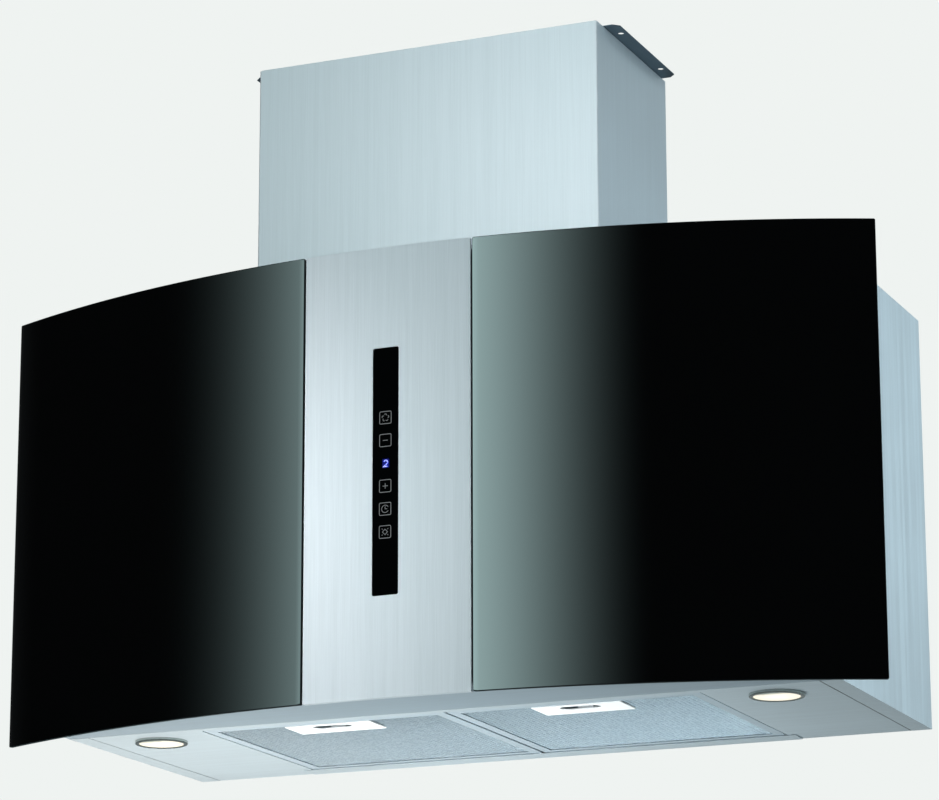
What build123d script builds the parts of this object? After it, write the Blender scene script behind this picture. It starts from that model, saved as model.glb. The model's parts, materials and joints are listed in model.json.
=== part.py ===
"""Curved glass range hood, an upright wall hood with a bowed front of two glass panels.

Millimetres. X runs to the viewer's right, Y into the wall and Z up. The wall is the plane Y = 0, and
the origin is the centre of the four wall screws on the back face of the back panel.
"""

import os
from math import asin, cos, radians, sin, sqrt

from build123d import *

os.makedirs("parts", exist_ok=True)

# ---------------------------------------------------------------- driving sizes: the whole hood
glass_width = 898.0        # across the two glass panels, end to end
glass_thickness = 4.0
glass_radius = 1068.0      # front face of the bowed glass
glass_corner = 1.5
glass_drop = 8.5           # glass hangs this far below the underside
glass_rise = 9.5           # and stands this far above the top
glass_end_reach = 27.0     # glass ends stand this far ahead of the body's flat front
body_width = 792.0
body_depth = 286.0
body_height = 412.0
wall_screw_drop = 112.0    # centre of the wall screws below the top
sheet = 1.0                # steel sheet of the body

# centre panel and the touch control in it
panel_width = 170.0
panel_setback = 0.6        # behind the face of the glass
panel_joint = 1.7          # open joint between the panel and each glass
bond_thickness = 2.0       # bonding strips between glass and carrier
bond_width = 14.0
control_width = 26.0
control_height = 236.0
control_glass_thickness = 3.0
control_corner = 1.5
control_low = 87.0         # lower end of the control glass above the underside
control_fit = 0.2          # open joint round the control glass
key_pitch = 21.8
key_count = 6
lowest_key = 148.0         # lowest key above the underside
display_key = 3            # counted upwards from the lowest key
board_thickness = 1.6
holder_wall = 1.5          # moulded tray behind the control glass
holder_room = 2.0          # it reaches this far past the glass on each side
holder_depth = 14.0
board_chip = (9.0, 30.0)   # side and pitch of the three large parts on the board
board_plug = (14.0, 8.0)
board_part_height = 4.0
peg_radius = 1.2           # pegs that carry the board
key_spring = (4.5, 3.0)    # outer and inner radius of a key's sensing spring
display_share = 0.7        # of the window and of the key pitch that the display fills

# folded edges of the body sheets
side_return = 20.0         # inward fold along the underside of each side panel
lip = 12.0                 # folds that pieces are fastened by
seam = 0.3                 # open seam between neighbouring sheets

# grease filters
filter_height = 9.0
filter_sheet = 0.8
filter_border = 10.0       # width of the channel frame seen from below
filter_gap = 3.0           # between the two filters
filter_margin = 1.5        # between a filter and the opening it hangs in
front_margin = 11.0        # pan left ahead of the filter opening
rear_margin = 22.45        # and behind it
side_margin = 139.0        # and beside it, from the body's side, for a lamp
filter_recess = 0.3        # filter face above the pan's face
filter_ledge = 3.0         # rear edge of a filter rests this deep on the rail
mesh_sheet = 0.8
mesh_cells = (11, 11)
mesh_bar = 1.6

# latch of a filter
latch_width = 90.0
latch_depth = 42.0
latch_sheet = 1.2
latch_travel = 6.0
finger_slot = (40.0, 16.0)
finger_slot_inset = 14.0   # its centre behind the latch's front edge
tongue_width = 32.0
tongue_thickness = 1.5
latch_spring_radius = 2.6
latch_spring_wire = 0.6
latch_spring_turns = 5
latch_spring_room = 4.0    # length of the spring when the latch is drawn right back
latch_overlap = 4.0        # the face plate covers the edges of its bay by this much
running_gap = 0.3

# lamps
lamp_inset = 77.0          # from the body's side
lamp_setback = 46.0        # behind the body's front
lamp_radius = 26.0
lamp_drop = 3.0            # bezel stands below the pan
lens_radius = 22.0
lens_thickness = 2.5
lamp_neck_radius = 24.0
lamp_can_height = 30.0
lamp_fins = 12

# blower
fan_axis_height = 196.0    # above the underside
fan_width = 150.0
volute_gap = 20.0          # from the wheel to the first quarter of the scroll
volute_step = 16.0         # each further quarter grows by this
volute_wall = 2.0
inlet_lap = 19.0           # inlets are this much smaller in radius than the wheel
inlet_rim = 14.0           # flat ring of an inlet against the housing
inlet_mouth = 7.0          # depth of its bell mouth
inlet_hook = 3.0           # its inner edge turned past the housing's side
impeller_radius = 85.0
impeller_depth = 14.0      # radial depth of the blades
impeller_width = 124.0
blade_count = 36
blade_thickness = 1.0
shaft_radius = 4.0
shaft_clearance = 0.05
motor_radius = 42.0
motor_length = 56.0
motor_gap = 14.0           # from the impeller's disc to the motor
motor_round = 5.0          # bevel of its end shields
motor_band = 1.5           # band round its stator stands this proud
bracket_arm = 12.0         # width of the motor bracket's three arms
bracket_sheet = 2.0
bracket_stand = 7.0        # arms stand this far off the housing's side
bracket_foot = 3.0

# duct outlet
collar_radius = 74.5       # outside, a 150 mm duct slips over it
collar_wall = 1.5
collar_height = 45.0
duct_room = 1.5            # for the duct's wall, between the collar and its screws' heads
collar_room = 2.0          # from its flange to the back of the chimney
flap_clearance = 1.6
flap_thickness = 1.2
flap_rod_radius = 2.0
flap_rod_height = 20.0     # above the top plate
flap_setback = 5.0         # a flap's straight edge stands this far from the rod's axis
knuckle_length = 16.0
knuckle_reach = (25.0, 45.0)   # of a flap's two knuckles from the middle

# chimney
chimney_width = 360.0
chimney_room = 23.0        # the chimney is this much deeper than the collar's flange
chimney_height = 240.0
chimney_reach = 35.0       # its front stands this far ahead of the body's flat front
chimney_sheet = 0.8
chimney_corner = 1.5
chimney_slide_gap = 0.5
chimney_foot_gap = 18.0    # from the body's top to the inner chimney when it is lowered
chimney_overlap = 42.0     # left inside the outer chimney when fully raised
ceiling_flange = 16.3      # from the inner chimney's side outwards
ceiling_flange_length = 162.0
ceiling_flange_start = 18.0
ceiling_hole_radius = 3.0
ceiling_hole_spacing = 110.0
ceiling_hole_edge = 7.0    # from the flange's outer edge

# fixings
wall_hole_radius = 4.25
wall_spacing_x = 560.0
wall_spacing_z = 160.0
keyhole_x = 200.0
keyhole_z = 50.0
keyhole_head = 7.0
keyhole_neck = 3.5
keyhole_rise = 12.0
screw_radius = 2.0
screw_head_radius = 3.6
screw_head_height = 2.2
screw_clearance = 0.15
short_screw = 4.0          # length through two sheets
long_screw = 8.0

# electrics
box_x = (110.0, 250.0)     # electronics box on the back panel
box_low, box_height, box_depth = 100.0, 100.0, 50.0
box_wall, lid_sheet = 2.0, 2.0
box_corner = 3.0
box_knockouts = (5.0, 30.0)   # radius and pitch of the three in its roof
gland_x, gland_y = 290.0, -60.0
gland_across = 12.0        # radius over the corners of its hexagons
gland_thread = (8.0, 7.0)  # radius, and length inside the body
gland_base, gland_cap = 6.0, 9.0
gland_bore = 4.0
gland_nut_height = 5.0
capacitor_radius, capacitor_height = 17.0, 70.0
capacitor_x, capacitor_low = -150.0, 110.0
capacitor_tabs = (12.0, 6.0, 8.0)   # pitch, width and height of its two tabs
strap_width, strap_sheet, strap_ear = 16.0, 1.2, 12.0
driver_size = (90.0, 40.0, 22.0)
driver_y = -130.0
driver_ear = (7.0, 14.0)   # reach and width of its screw ears

# ---------------------------------------------------------------- places worked out from them
top = wall_screw_drop
under = top - body_height
glass_height = body_height + glass_drop + glass_rise
front = -body_depth
half = body_width / 2
glass_low = under - glass_drop
bow_y = front - glass_end_reach + sqrt(glass_radius**2 - (glass_width / 2) ** 2)
glass_back = glass_radius - glass_thickness
panel_face = glass_radius - panel_setback
carrier_face = glass_back - bond_thickness
panel_half = panel_width / 2
filter_low = under + filter_recess
opening_half = half - side_margin
opening_front = front + front_margin
opening_back = -rear_margin
filter_width = opening_half - filter_gap / 2 - filter_margin
filter_front = opening_front + running_gap + tongue_thickness / 2
filter_back = opening_back - filter_margin
filter_depth = filter_back - filter_front
filter_x = (filter_width + filter_gap) / 2
lamp_x = half - lamp_inset
collar_screw_circle = collar_radius + duct_room + screw_head_radius
collar_flange = collar_screw_circle + screw_head_radius + running_gap
chimney_depth = 2 * collar_flange + chimney_room
chimney_front = front - chimney_reach
chimney_back = chimney_front + chimney_depth
chimney_y = (chimney_front + chimney_back) / 2
inner_chimney_height = chimney_height - chimney_foot_gap
outlet_y = chimney_back - collar_room - collar_flange
volute_start = impeller_radius + volute_gap
outlet_depth = volute_start + 3 * volute_step
outlet_front = outlet_y - outlet_depth / 2
outlet_back = outlet_y + outlet_depth / 2
fan_axis_y = outlet_back - volute_step / 2
fan_axis_z = under + fan_axis_height
inlet_radius = impeller_radius - inlet_lap
chimney_top = top + chimney_height
fold_top = top - sheet - lip - seam


def keep(piece, name):
    """Labels a finished piece and writes it under its own name."""
    piece.part.label = name
    export_step(piece.part, f"parts/{name}.step")


def keep_pair(piece, name):
    """Writes a piece of the right-hand side and its mirror image on the left."""
    keep(piece, f"right_{name}")
    with BuildPart() as other_side:
        mirror(piece.part, about=Plane.YZ)
    keep(other_side, f"left_{name}")


def block(xs, ys, zs, mode=Mode.ADD):
    """A rectangular block between the given limits along X, Y and Z."""
    centre = ((xs[0] + xs[1]) / 2, (ys[0] + ys[1]) / 2, (zs[0] + zs[1]) / 2)
    with Locations(centre):
        Box(xs[1] - xs[0], ys[1] - ys[0], zs[1] - zs[0], mode=mode)


def bow_point(radius, x_on_face):
    """The point of a bow of that radius, on the line square to the glass at X on its face."""
    angle = asin(x_on_face / glass_radius)
    return radius * sin(angle), bow_y - radius * cos(angle)


def bowed_face(front_radius, back_radius, first, last):
    """The plan of a plate bent to the front's curve, its ends cut square to it."""
    middle = (first + last) / 2
    with BuildSketch() as plan:
        with BuildLine():
            ThreePointArc(*[bow_point(front_radius, x) for x in (first, middle, last)])
            Line(bow_point(front_radius, last), bow_point(back_radius, last))
            ThreePointArc(*[bow_point(back_radius, x) for x in (last, middle, first)])
            Line(bow_point(back_radius, first), bow_point(front_radius, first))
        make_face()
    return plan.sketch


def bow_depth(radius, x):
    """Y of a bow of that radius at a given X."""
    return bow_y - sqrt(radius**2 - x**2)


def front_plan(radius, width, back):
    """The plan of the flat sheets that fill the bow: straight sides, a straight back, a bowed front."""
    side = width / 2
    with BuildSketch() as plan:
        with BuildLine():
            Polyline((side, bow_depth(radius, side)), (side, back), (-side, back),
                     (-side, bow_depth(radius, side)))
            ThreePointArc((-side, bow_depth(radius, side)), (0, bow_y - radius),
                          (side, bow_depth(radius, side)))
        make_face()
    return plan.sketch


# ---------------------------------------------------------------- bowed front
def make_glass():
    """One glass panel, bent and ground square, its four corners eased."""
    with BuildPart() as glass:
        with BuildSketch(Plane.XY.offset(glass_low)):
            add(bowed_face(glass_radius, glass_back, panel_half + panel_joint, glass_width / 2))
        extrude(amount=glass_height)
        corners = glass.edges().filter_by(GeomType.LINE).filter_by(
            lambda edge: edge.length < glass_thickness + sheet)
        fillet(corners, glass_corner)
    keep_pair(glass, "glass")


def make_bonding_strips():
    """Three upright strips that bond a glass panel to the carrier behind it."""
    first = panel_half + panel_joint + bond_width
    last = half - bond_width
    with BuildPart() as strips:
        with BuildSketch(Plane.XY.offset(under + lip)):
            for centre in (first, (first + last) / 2, last):
                add(bowed_face(glass_back, carrier_face, centre - bond_width / 2,
                               centre + bond_width / 2))
        extrude(amount=body_height - 2 * lip)
    keep_pair(strips, "glass_bonding_strips")


def make_centre_panel():
    """Bowed steel panel between the glasses: a shallow tray whose edges rest on the carrier."""
    control_mouth = (control_width + 2 * control_fit, control_height + 2 * control_fit)
    with BuildPart() as panel:
        with BuildSketch(Plane.XY.offset(glass_low)):
            add(bowed_face(panel_face, carrier_face, -panel_half, panel_half))
        extrude(amount=glass_height)
        fillet(panel.edges().filter_by(Axis.Z).group_by(Axis.Y)[0], sheet * 0.8)
        with BuildSketch(Plane.XY.offset(glass_low + sheet)):
            add(bowed_face(panel_face - sheet, carrier_face - sheet, sheet - panel_half,
                           panel_half - sheet))
        extrude(amount=glass_height - 2 * sheet, mode=Mode.SUBTRACT)
        with BuildSketch(Plane.XZ.offset(panel_face - bow_y - 2 * sheet)):
            with Locations((0, under + control_low + control_height / 2)):
                RectangleRounded(*control_mouth, control_corner + control_fit)
        extrude(amount=4 * sheet, mode=Mode.SUBTRACT)
    keep(panel, "centre_panel")


def make_carrier():
    """Bowed steel carrier behind the glass, its straight sides folded in to meet the side panels."""
    window_low = under + control_low + 4 * sheet
    window_high = window_low + control_height - 8 * sheet
    with BuildPart() as carrier:
        with BuildSketch(Plane.XY.offset(under)):
            add(front_plan(carrier_face, body_width, front))
            add(front_plan(carrier_face - sheet, body_width - 2 * sheet, front),
                mode=Mode.SUBTRACT)
        extrude(amount=body_height)
        for side in (-1, 1):
            block(sorted((side * half, side * (half - lip - sheet))), (front - sheet, front),
                  (under + 2 * sheet, fold_top))
        block((-control_width / 2 + 3 * sheet, control_width / 2 - 3 * sheet),
              (bow_y - carrier_face - sheet, bow_y - carrier_face + 3 * sheet),
              (window_low, window_high), mode=Mode.SUBTRACT)
        with BuildSketch(Plane.XZ.offset(-front - sheet)):
            with Locations(*carrier_screw_places()):
                Circle(screw_radius + screw_clearance)
        extrude(amount=3 * sheet, mode=Mode.SUBTRACT)
    keep(carrier, "front_carrier")


def carrier_screw_places():
    """X and Z of the screws that join the carrier to the side panels."""
    reach = half - sheet - lip / 2
    heights = [under + body_height * share for share in (0.1, 0.5, 0.9)]
    return [(side * reach, height) for side in (-1, 1) for height in heights]


def make_front_bottom_plate():
    """Segment-shaped tray that closes the underside between the pan and the bowed front."""
    radius = carrier_face - sheet
    with BuildPart() as plate:
        with BuildSketch(Plane.XY.offset(under)):
            add(front_plan(radius, body_width - 2 * sheet, front - sheet))
        extrude(amount=lip)
        with BuildSketch(Plane.XY.offset(under + sheet)):
            add(front_plan(radius - sheet, body_width - 4 * sheet, front))
        extrude(amount=lip, mode=Mode.SUBTRACT)
        for side in (-1, 1):
            fold = sorted((side * half, side * (half - lip - 2 * sheet)))
            block(fold, (front - sheet, front), (under + sheet, under + lip + sheet),
                  mode=Mode.SUBTRACT)
    keep(plate, "front_bottom_plate")


# ---------------------------------------------------------------- body
def make_side_panel():
    """Side of the body with a narrow return along the underside and a fold at its front."""
    with BuildPart() as panel:
        with BuildSketch(Plane.XY.offset(under)):
            with BuildLine():
                Polyline((half, 0), (half, front), (half - lip - sheet, front),
                         (half - lip - sheet, front + sheet), (half - sheet, front + sheet),
                         (half - sheet, 0), close=True)
            make_face()
        extrude(amount=fold_top - under)
        block((half - sheet, half), (front, 0), (fold_top, top))
        block((half - side_return, half - sheet), (front, 0), (under, under + sheet))
        with BuildSketch(Plane.XZ.offset(-front - 2 * sheet)):
            with Locations(*[place for place in carrier_screw_places() if place[0] > 0]):
                Circle(screw_radius + screw_clearance)
        extrude(amount=3 * sheet, mode=Mode.SUBTRACT)
    keep_pair(panel, "side_panel")


def make_back_panel():
    """Back of the body, folded forwards on all sides, with screw holes and hanging keyholes."""
    side = half - sheet
    low, high = under + sheet, top - sheet
    with BuildPart() as panel:
        block((-side, side), (-lip, 0), (low, high))
        block((sheet - side, side - sheet), (-lip - sheet, -sheet), (low + sheet, high - sheet),
              mode=Mode.SUBTRACT)
        block((-side, side), (-lip - sheet, -sheet), (fold_top, high + sheet), mode=Mode.SUBTRACT)
        with BuildSketch(Plane.XZ.offset(-sheet)):
            with GridLocations(wall_spacing_x, wall_spacing_z, 2, 2):
                Circle(wall_hole_radius)
            for x in (-keyhole_x, keyhole_x):
                with Locations((x, keyhole_z)):
                    Circle(keyhole_head)
                with Locations((x, keyhole_z + keyhole_rise / 2)):
                    SlotOverall(keyhole_rise + 2 * keyhole_neck, 2 * keyhole_neck, rotation=90)
        extrude(amount=3 * sheet, mode=Mode.SUBTRACT)
    keep(panel, "back_panel")


def make_top_plate():
    """Lid over the body and the bowed front, with the duct hole and the chimney's screw holes."""
    radius = carrier_face - sheet
    with BuildPart() as plate:
        with BuildSketch(Plane.XY.offset(top - lip)):
            add(front_plan(radius, body_width - 2 * sheet, -sheet))
        extrude(amount=lip)
        with BuildSketch(Plane.XY.offset(top - lip - sheet)):
            add(front_plan(radius - sheet, body_width - 4 * sheet, -2 * sheet))
        extrude(amount=lip, mode=Mode.SUBTRACT)
        with BuildSketch(Plane.XY.offset(top - 2 * sheet)):
            with Locations((0, outlet_y)):
                Circle(collar_radius - collar_wall)
                with PolarLocations(collar_screw_circle, 4, start_angle=45):
                    Circle(screw_radius + screw_clearance)
            with Locations(*chimney_screw_places()):
                Circle(screw_radius + screw_clearance)
            with Locations((gland_x, gland_y)):
                Circle(gland_thread[0] + screw_clearance)
        extrude(amount=3 * sheet, mode=Mode.SUBTRACT)
    keep(plate, "top_plate")


def make_bottom_pan():
    """Underside of the body: filter opening with upright lips and the two lamp holes."""
    side = half - side_return - seam
    low_y, high_y = front + seam, -seam
    with BuildPart() as pan:
        block((-side, side), (low_y, high_y), (under, under + sheet))
        for edge in (-side, side - sheet):
            block((edge, edge + sheet), (low_y + lip, high_y - 2 * lip), (under, under + lip))
        block((-opening_half - sheet, opening_half + sheet), (opening_front - sheet, opening_back),
              (under, under + filter_height))
        block((-opening_half, opening_half), (opening_front, opening_back),
              (under - sheet, under + lip), mode=Mode.SUBTRACT)
        with BuildSketch(Plane.XY.offset(under - sheet)):
            with Locations(*[(side * lamp_x, front + lamp_setback) for side in (-1, 1)]):
                Circle(lamp_neck_radius + running_gap)
        extrude(amount=3 * sheet, mode=Mode.SUBTRACT)
    keep(pan, "bottom_pan")


def make_filter_rail():
    """Strip under the pan's rear edge: the filters hang on its front edge, its ends are notched."""
    reach = opening_half + 3 * lip / 4
    ledge = filter_back - filter_ledge
    heel = -running_gap - 2 * sheet
    with BuildPart() as rail:
        with BuildSketch(Plane.YZ.offset(-reach)):
            with BuildLine():
                Polyline((ledge, under - sheet), (heel, under - sheet), (heel, under),
                         (heel - 3 * sheet, under), (heel - 3 * sheet, under - sheet / 2),
                         (opening_back + 4 * sheet, under - sheet / 2),
                         (opening_back + 4 * sheet, under), (ledge, under), close=True)
            make_face()
        extrude(amount=2 * reach)
        chamfer(rail.edges().filter_by(Axis.Z).group_by(Axis.Y)[-1], 2 * sheet)
    keep(rail, "filter_rail")


# ---------------------------------------------------------------- grease filters and latches
bay_half = latch_width / 2 - latch_overlap
bay_front = filter_front + filter_border
bay_low = filter_low + filter_sheet
bay_roof = filter_low + filter_height - filter_sheet
latch_front = bay_front + running_gap
bay_back = latch_front + latch_depth - latch_overlap
latch_low = bay_low - running_gap - latch_sheet
tab_back = bay_back - latch_travel - latch_spring_room
latch_rib = filter_low + 3.6
latch_rib_width = 2.0
tongue_low = filter_low + 3.6
mesh_pitch = ((filter_width - 2 * filter_border) / mesh_cells[0],
              (filter_depth - 2 * filter_border) / mesh_cells[1])


def filter_plan(inset):
    """The filter's outline drawn in by the given distance."""
    with BuildSketch() as plan:
        with Locations((filter_x, (filter_front + filter_back) / 2)):
            Rectangle(filter_width - 2 * inset, filter_depth - 2 * inset)
    return plan.sketch


def make_filter_frame():
    """Channel frame of a filter, open to the inside, with a roofed bay for its latch."""
    wall = filter_sheet
    with BuildPart() as frame:
        with BuildSketch(Plane.XY.offset(filter_low)):
            add(filter_plan(0))
        extrude(amount=filter_height)
        fillet(frame.edges().filter_by(Axis.Z), 2 * sheet)
        with BuildSketch(Plane.XY.offset(filter_low)):
            add(filter_plan(filter_border))
        extrude(amount=filter_height, mode=Mode.SUBTRACT)
        with BuildSketch(Plane.XY.offset(filter_low + wall)):
            add(filter_plan(wall))
        extrude(amount=filter_height - 2 * wall, mode=Mode.SUBTRACT)
        xs = (filter_x - bay_half, filter_x + bay_half)
        block((xs[0] - wall, xs[1] + wall), (bay_front - wall, bay_back + wall),
              (bay_low, bay_roof + wall))
        block(xs, (bay_front - 2 * wall, bay_back), (bay_low, bay_roof), mode=Mode.SUBTRACT)
        for rib in ((xs[0], xs[0] + latch_rib_width), (xs[1] - latch_rib_width, xs[1])):
            block(rib, (bay_front, bay_back), (latch_rib, latch_rib + sheet))
        block((filter_x - tongue_width / 2 - 1, filter_x + tongue_width / 2 + 1),
              (filter_front - wall, filter_front + 2 * wall),
              (tongue_low - running_gap, tongue_low + tongue_thickness + running_gap),
              mode=Mode.SUBTRACT)
    keep_pair(frame, "filter_frame")


def bay_cut(low, high):
    """Clears the latch bay and a small gap round it from the layer being made."""
    margin = filter_sheet + running_gap
    block((filter_x - bay_half - margin, filter_x + bay_half + margin),
          (filter_front, bay_back + margin), (low, high), mode=Mode.SUBTRACT)


def mesh_places():
    """Centres of the diamonds in a filter's facing, clear of its latch bay."""
    columns, rows = mesh_cells
    centre_y = (filter_front + filter_back) / 2
    margin = mesh_pitch[1]
    places = [(filter_x + (column - (columns - 1) / 2) * mesh_pitch[0],
               centre_y + (row - (rows - 1) / 2) * mesh_pitch[1])
              for column in range(columns) for row in range(rows)]
    return [(x, y) for x, y in places
            if abs(x - filter_x) > bay_half + margin or y > bay_back + margin]


def make_filter_mesh():
    """Lower facing of a filter: a sheet opened into a grid of diamonds."""
    low = filter_low + filter_sheet
    half_x, half_y = mesh_pitch[0] / 2 - mesh_bar, mesh_pitch[1] / 2 - mesh_bar
    with BuildSketch() as diamond:
        Polygon((half_x, 0), (0, half_y), (-half_x, 0), (0, -half_y))
    with BuildPart() as mesh:
        with BuildSketch(Plane.XY.offset(low)):
            add(filter_plan(filter_sheet + running_gap))
        extrude(amount=mesh_sheet)
        bay_cut(low, low + mesh_sheet)
        with BuildSketch(Plane.XY.offset(low)):
            with Locations(*mesh_places()):
                add(diamond.sketch)
        extrude(amount=mesh_sheet, mode=Mode.SUBTRACT)
    keep_pair(mesh, "filter_mesh")


def make_filter_core():
    """Pack of knitted aluminium between the facings of a filter."""
    low = filter_low + filter_sheet + mesh_sheet
    high = filter_low + filter_height - filter_sheet
    with BuildPart() as core:
        with BuildSketch(Plane.XY.offset(low)):
            add(filter_plan(filter_sheet + running_gap))
        extrude(amount=high - low)
        bay_cut(low, high)
    keep_pair(core, "filter_core")


def make_latch():
    """Sliding latch: face plate with a finger slot, two guides on the bay's ribs, and a tongue."""
    back = latch_front + latch_depth
    guide_top = latch_rib + sheet + running_gap + sheet
    guide_ys = (latch_front + 2 * sheet, tab_back)
    tongue_xs = (filter_x - tongue_width / 2, filter_x + tongue_width / 2)
    with BuildPart() as latch:
        with BuildSketch(Plane.XY.offset(latch_low)):
            with Locations((filter_x, (latch_front + back) / 2)):
                RectangleRounded(latch_width, latch_depth, 2 * sheet)
            with Locations((filter_x, latch_front + finger_slot_inset)):
                SlotOverall(*finger_slot, mode=Mode.SUBTRACT)
        extrude(amount=latch_sheet)
        for side in (-1, 1):
            guide = filter_x + side * (bay_half - latch_rib_width - 2 * running_gap)
            rib_edge = filter_x + side * (bay_half - running_gap)
            block(sorted((guide, guide - side * sheet)), guide_ys, (latch_low, guide_top))
            block(sorted((guide - side * sheet, rib_edge)), guide_ys,
                  (guide_top - sheet, guide_top))
        block(tongue_xs, (latch_front + sheet, latch_front + 2 * sheet),
              (latch_low, tongue_low + tongue_thickness))
        block(tongue_xs, (opening_front + running_gap, latch_front + 2 * sheet),
              (tongue_low, tongue_low + tongue_thickness))
        block((filter_x - 3 * latch_spring_radius, filter_x + 3 * latch_spring_radius),
              (tab_back - sheet, tab_back), (latch_low, bay_roof - running_gap))
    keep_pair(latch, "filter_latch")


def make_latch_spring():
    """Coil spring that pushes the latch forwards, between its rear tab and the bay's wall."""
    first = tab_back + latch_spring_wire
    last = bay_back - latch_spring_wire
    axis_z = (latch_low + latch_sheet + bay_roof) / 2
    radius = latch_spring_radius - latch_spring_wire / 2
    with BuildPart() as spring:
        with BuildLine() as coil:
            Helix(pitch=(last - first) / latch_spring_turns, height=last - first, radius=radius,
                  center=(filter_x, first, axis_z), direction=(0, 1, 0))
        with BuildSketch(Plane(origin=coil.line @ 0, z_dir=coil.line % 0)):
            RegularPolygon(latch_spring_wire / 2, 4)
        sweep(is_frenet=True)
    keep_pair(spring, "latch_spring")


# ---------------------------------------------------------------- lamps
def lamp_plane(height):
    """The plane across the right-hand lamp at that height."""
    return Plane.XY.offset(height).move(Location((lamp_x, front + lamp_setback, 0)))


def make_lamp():
    """Lamp: a turned bezel through the pan, a frosted lens flush with it, and a finned can."""
    axis = Axis((lamp_x, front + lamp_setback, 0), (0, 0, 1))
    face = under - lamp_drop
    section = Plane(origin=(lamp_x, front + lamp_setback, 0), x_dir=(1, 0, 0), z_dir=(0, -1, 0))
    neck_top = under + lip
    with BuildPart() as bezel:
        with BuildSketch(section):
            with BuildLine():
                Polyline((lens_radius + running_gap / 3, face), (lamp_radius - sheet, face))
                RadiusArc((lamp_radius - sheet, face), (lamp_radius, face + sheet), -sheet)
                Polyline((lamp_radius, face + sheet), (lamp_radius, under),
                         (lamp_neck_radius, under), (lamp_neck_radius, neck_top),
                         (lamp_neck_radius - sheet, neck_top),
                         (lamp_neck_radius - sheet, face + lens_thickness + sheet),
                         (lens_radius - sheet, face + lens_thickness + sheet),
                         (lens_radius - sheet, face + lens_thickness + running_gap),
                         (lens_radius + running_gap / 3, face + lens_thickness + running_gap),
                         (lens_radius + running_gap / 3, face))
            make_face()
        revolve(axis=axis)
    keep_pair(bezel, "lamp_bezel")

    with BuildPart() as lens:
        with BuildSketch(lamp_plane(face + running_gap)):
            Circle(lens_radius)
        extrude(amount=lens_thickness)
        chamfer(lens.edges().group_by(Axis.Z)[0], sheet / 2)
    keep_pair(lens, "lamp_lens")

    with BuildPart() as can:
        with BuildSketch(lamp_plane(neck_top)):
            Circle(lamp_neck_radius)
        extrude(amount=lamp_can_height)
        with BuildSketch(lamp_plane(neck_top)):
            Circle(lamp_neck_radius - 2 * sheet)
        extrude(amount=lamp_can_height - 2 * sheet, mode=Mode.SUBTRACT)
        with BuildSketch(lamp_plane(neck_top + 4 * sheet)):
            with PolarLocations(lamp_neck_radius + 2 * sheet, lamp_fins):
                Rectangle(6 * sheet, 1.5 * sheet)
        extrude(amount=lamp_can_height - 4 * sheet)
    keep_pair(can, "lamp_can")


# ---------------------------------------------------------------- blower
def fan_plane(x):
    """The plane across the fan's axis at that X, with Y and Z as its own axes."""
    return Plane(origin=(x, fan_axis_y, fan_axis_z), x_dir=(0, 1, 0), z_dir=(1, 0, 0))


def volute_plan(inset):
    """The scroll: three quarter arcs on the corners of a square, then a straight outlet upwards."""
    offset_centre = volute_step / 2
    r1 = volute_start - inset
    r2, r3 = r1 + volute_step, r1 + 2 * volute_step
    c1, c2 = (offset_centre, -offset_centre), (-offset_centre, -offset_centre)
    c3 = (-offset_centre, offset_centre)
    outlet_top = top - sheet - fan_axis_z
    with BuildSketch() as plan:
        with BuildLine():
            CenterArc(c1, r1, 0, 90)
            CenterArc(c2, r2, -90, 90)
            CenterArc(c3, r3, 180, 90)
            Polyline((c3[0] - r3, c3[1]), (c3[0] - r3, outlet_top),
                     (c1[0] - inset, outlet_top), (c1[0] - inset, c1[1] + r1))
            if inset:
                Line((c1[0] - inset, c1[1] + r1), (c1[0], c1[1] + r1))
        make_face()
    return plan.sketch


def make_blower_housing():
    """Scroll housing with an inlet on each side and a flange round its outlet."""
    side = fan_width / 2
    flange = (outlet_front - lip, outlet_back + lip)
    with BuildPart() as housing:
        with BuildSketch(fan_plane(-side)):
            add(volute_plan(0))
        extrude(amount=fan_width)
        block((-side - lip, side + lip), flange, (top - sheet - volute_wall, top - sheet))
        with BuildSketch(fan_plane(volute_wall - side)):
            add(volute_plan(volute_wall))
        extrude(amount=fan_width - 2 * volute_wall, mode=Mode.SUBTRACT)
        with BuildSketch(fan_plane(-side)):
            Circle(inlet_radius)
        extrude(amount=fan_width, mode=Mode.SUBTRACT)
    keep(housing, "blower_housing")


def make_inlet_rings():
    """Bell-mouthed ring round each inlet of the housing."""
    side = fan_width / 2
    throat = inlet_radius - volute_wall
    section = Plane(origin=(0, fan_axis_y, fan_axis_z), x_dir=(1, 0, 0), z_dir=(0, -1, 0))
    with BuildPart() as rings:
        with BuildSketch(section):
            with BuildLine():
                Polyline((side, inlet_radius + inlet_rim), (side, inlet_radius),
                         (side - inlet_hook, inlet_radius), (side - inlet_hook, throat),
                         (side, throat), (side + 0.7 * inlet_mouth, throat + 0.3 * inlet_mouth),
                         (side + inlet_mouth, throat + inlet_mouth),
                         (side + inlet_mouth, inlet_radius + inlet_mouth),
                         (side + volute_wall, inlet_radius + inlet_mouth),
                         (side + volute_wall, inlet_radius + inlet_rim), close=True)
            make_face()
        revolve(axis=Axis((0, fan_axis_y, fan_axis_z), (1, 0, 0)))
        mirror(about=Plane.YZ)
    keep(rings, "inlet_rings")


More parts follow.
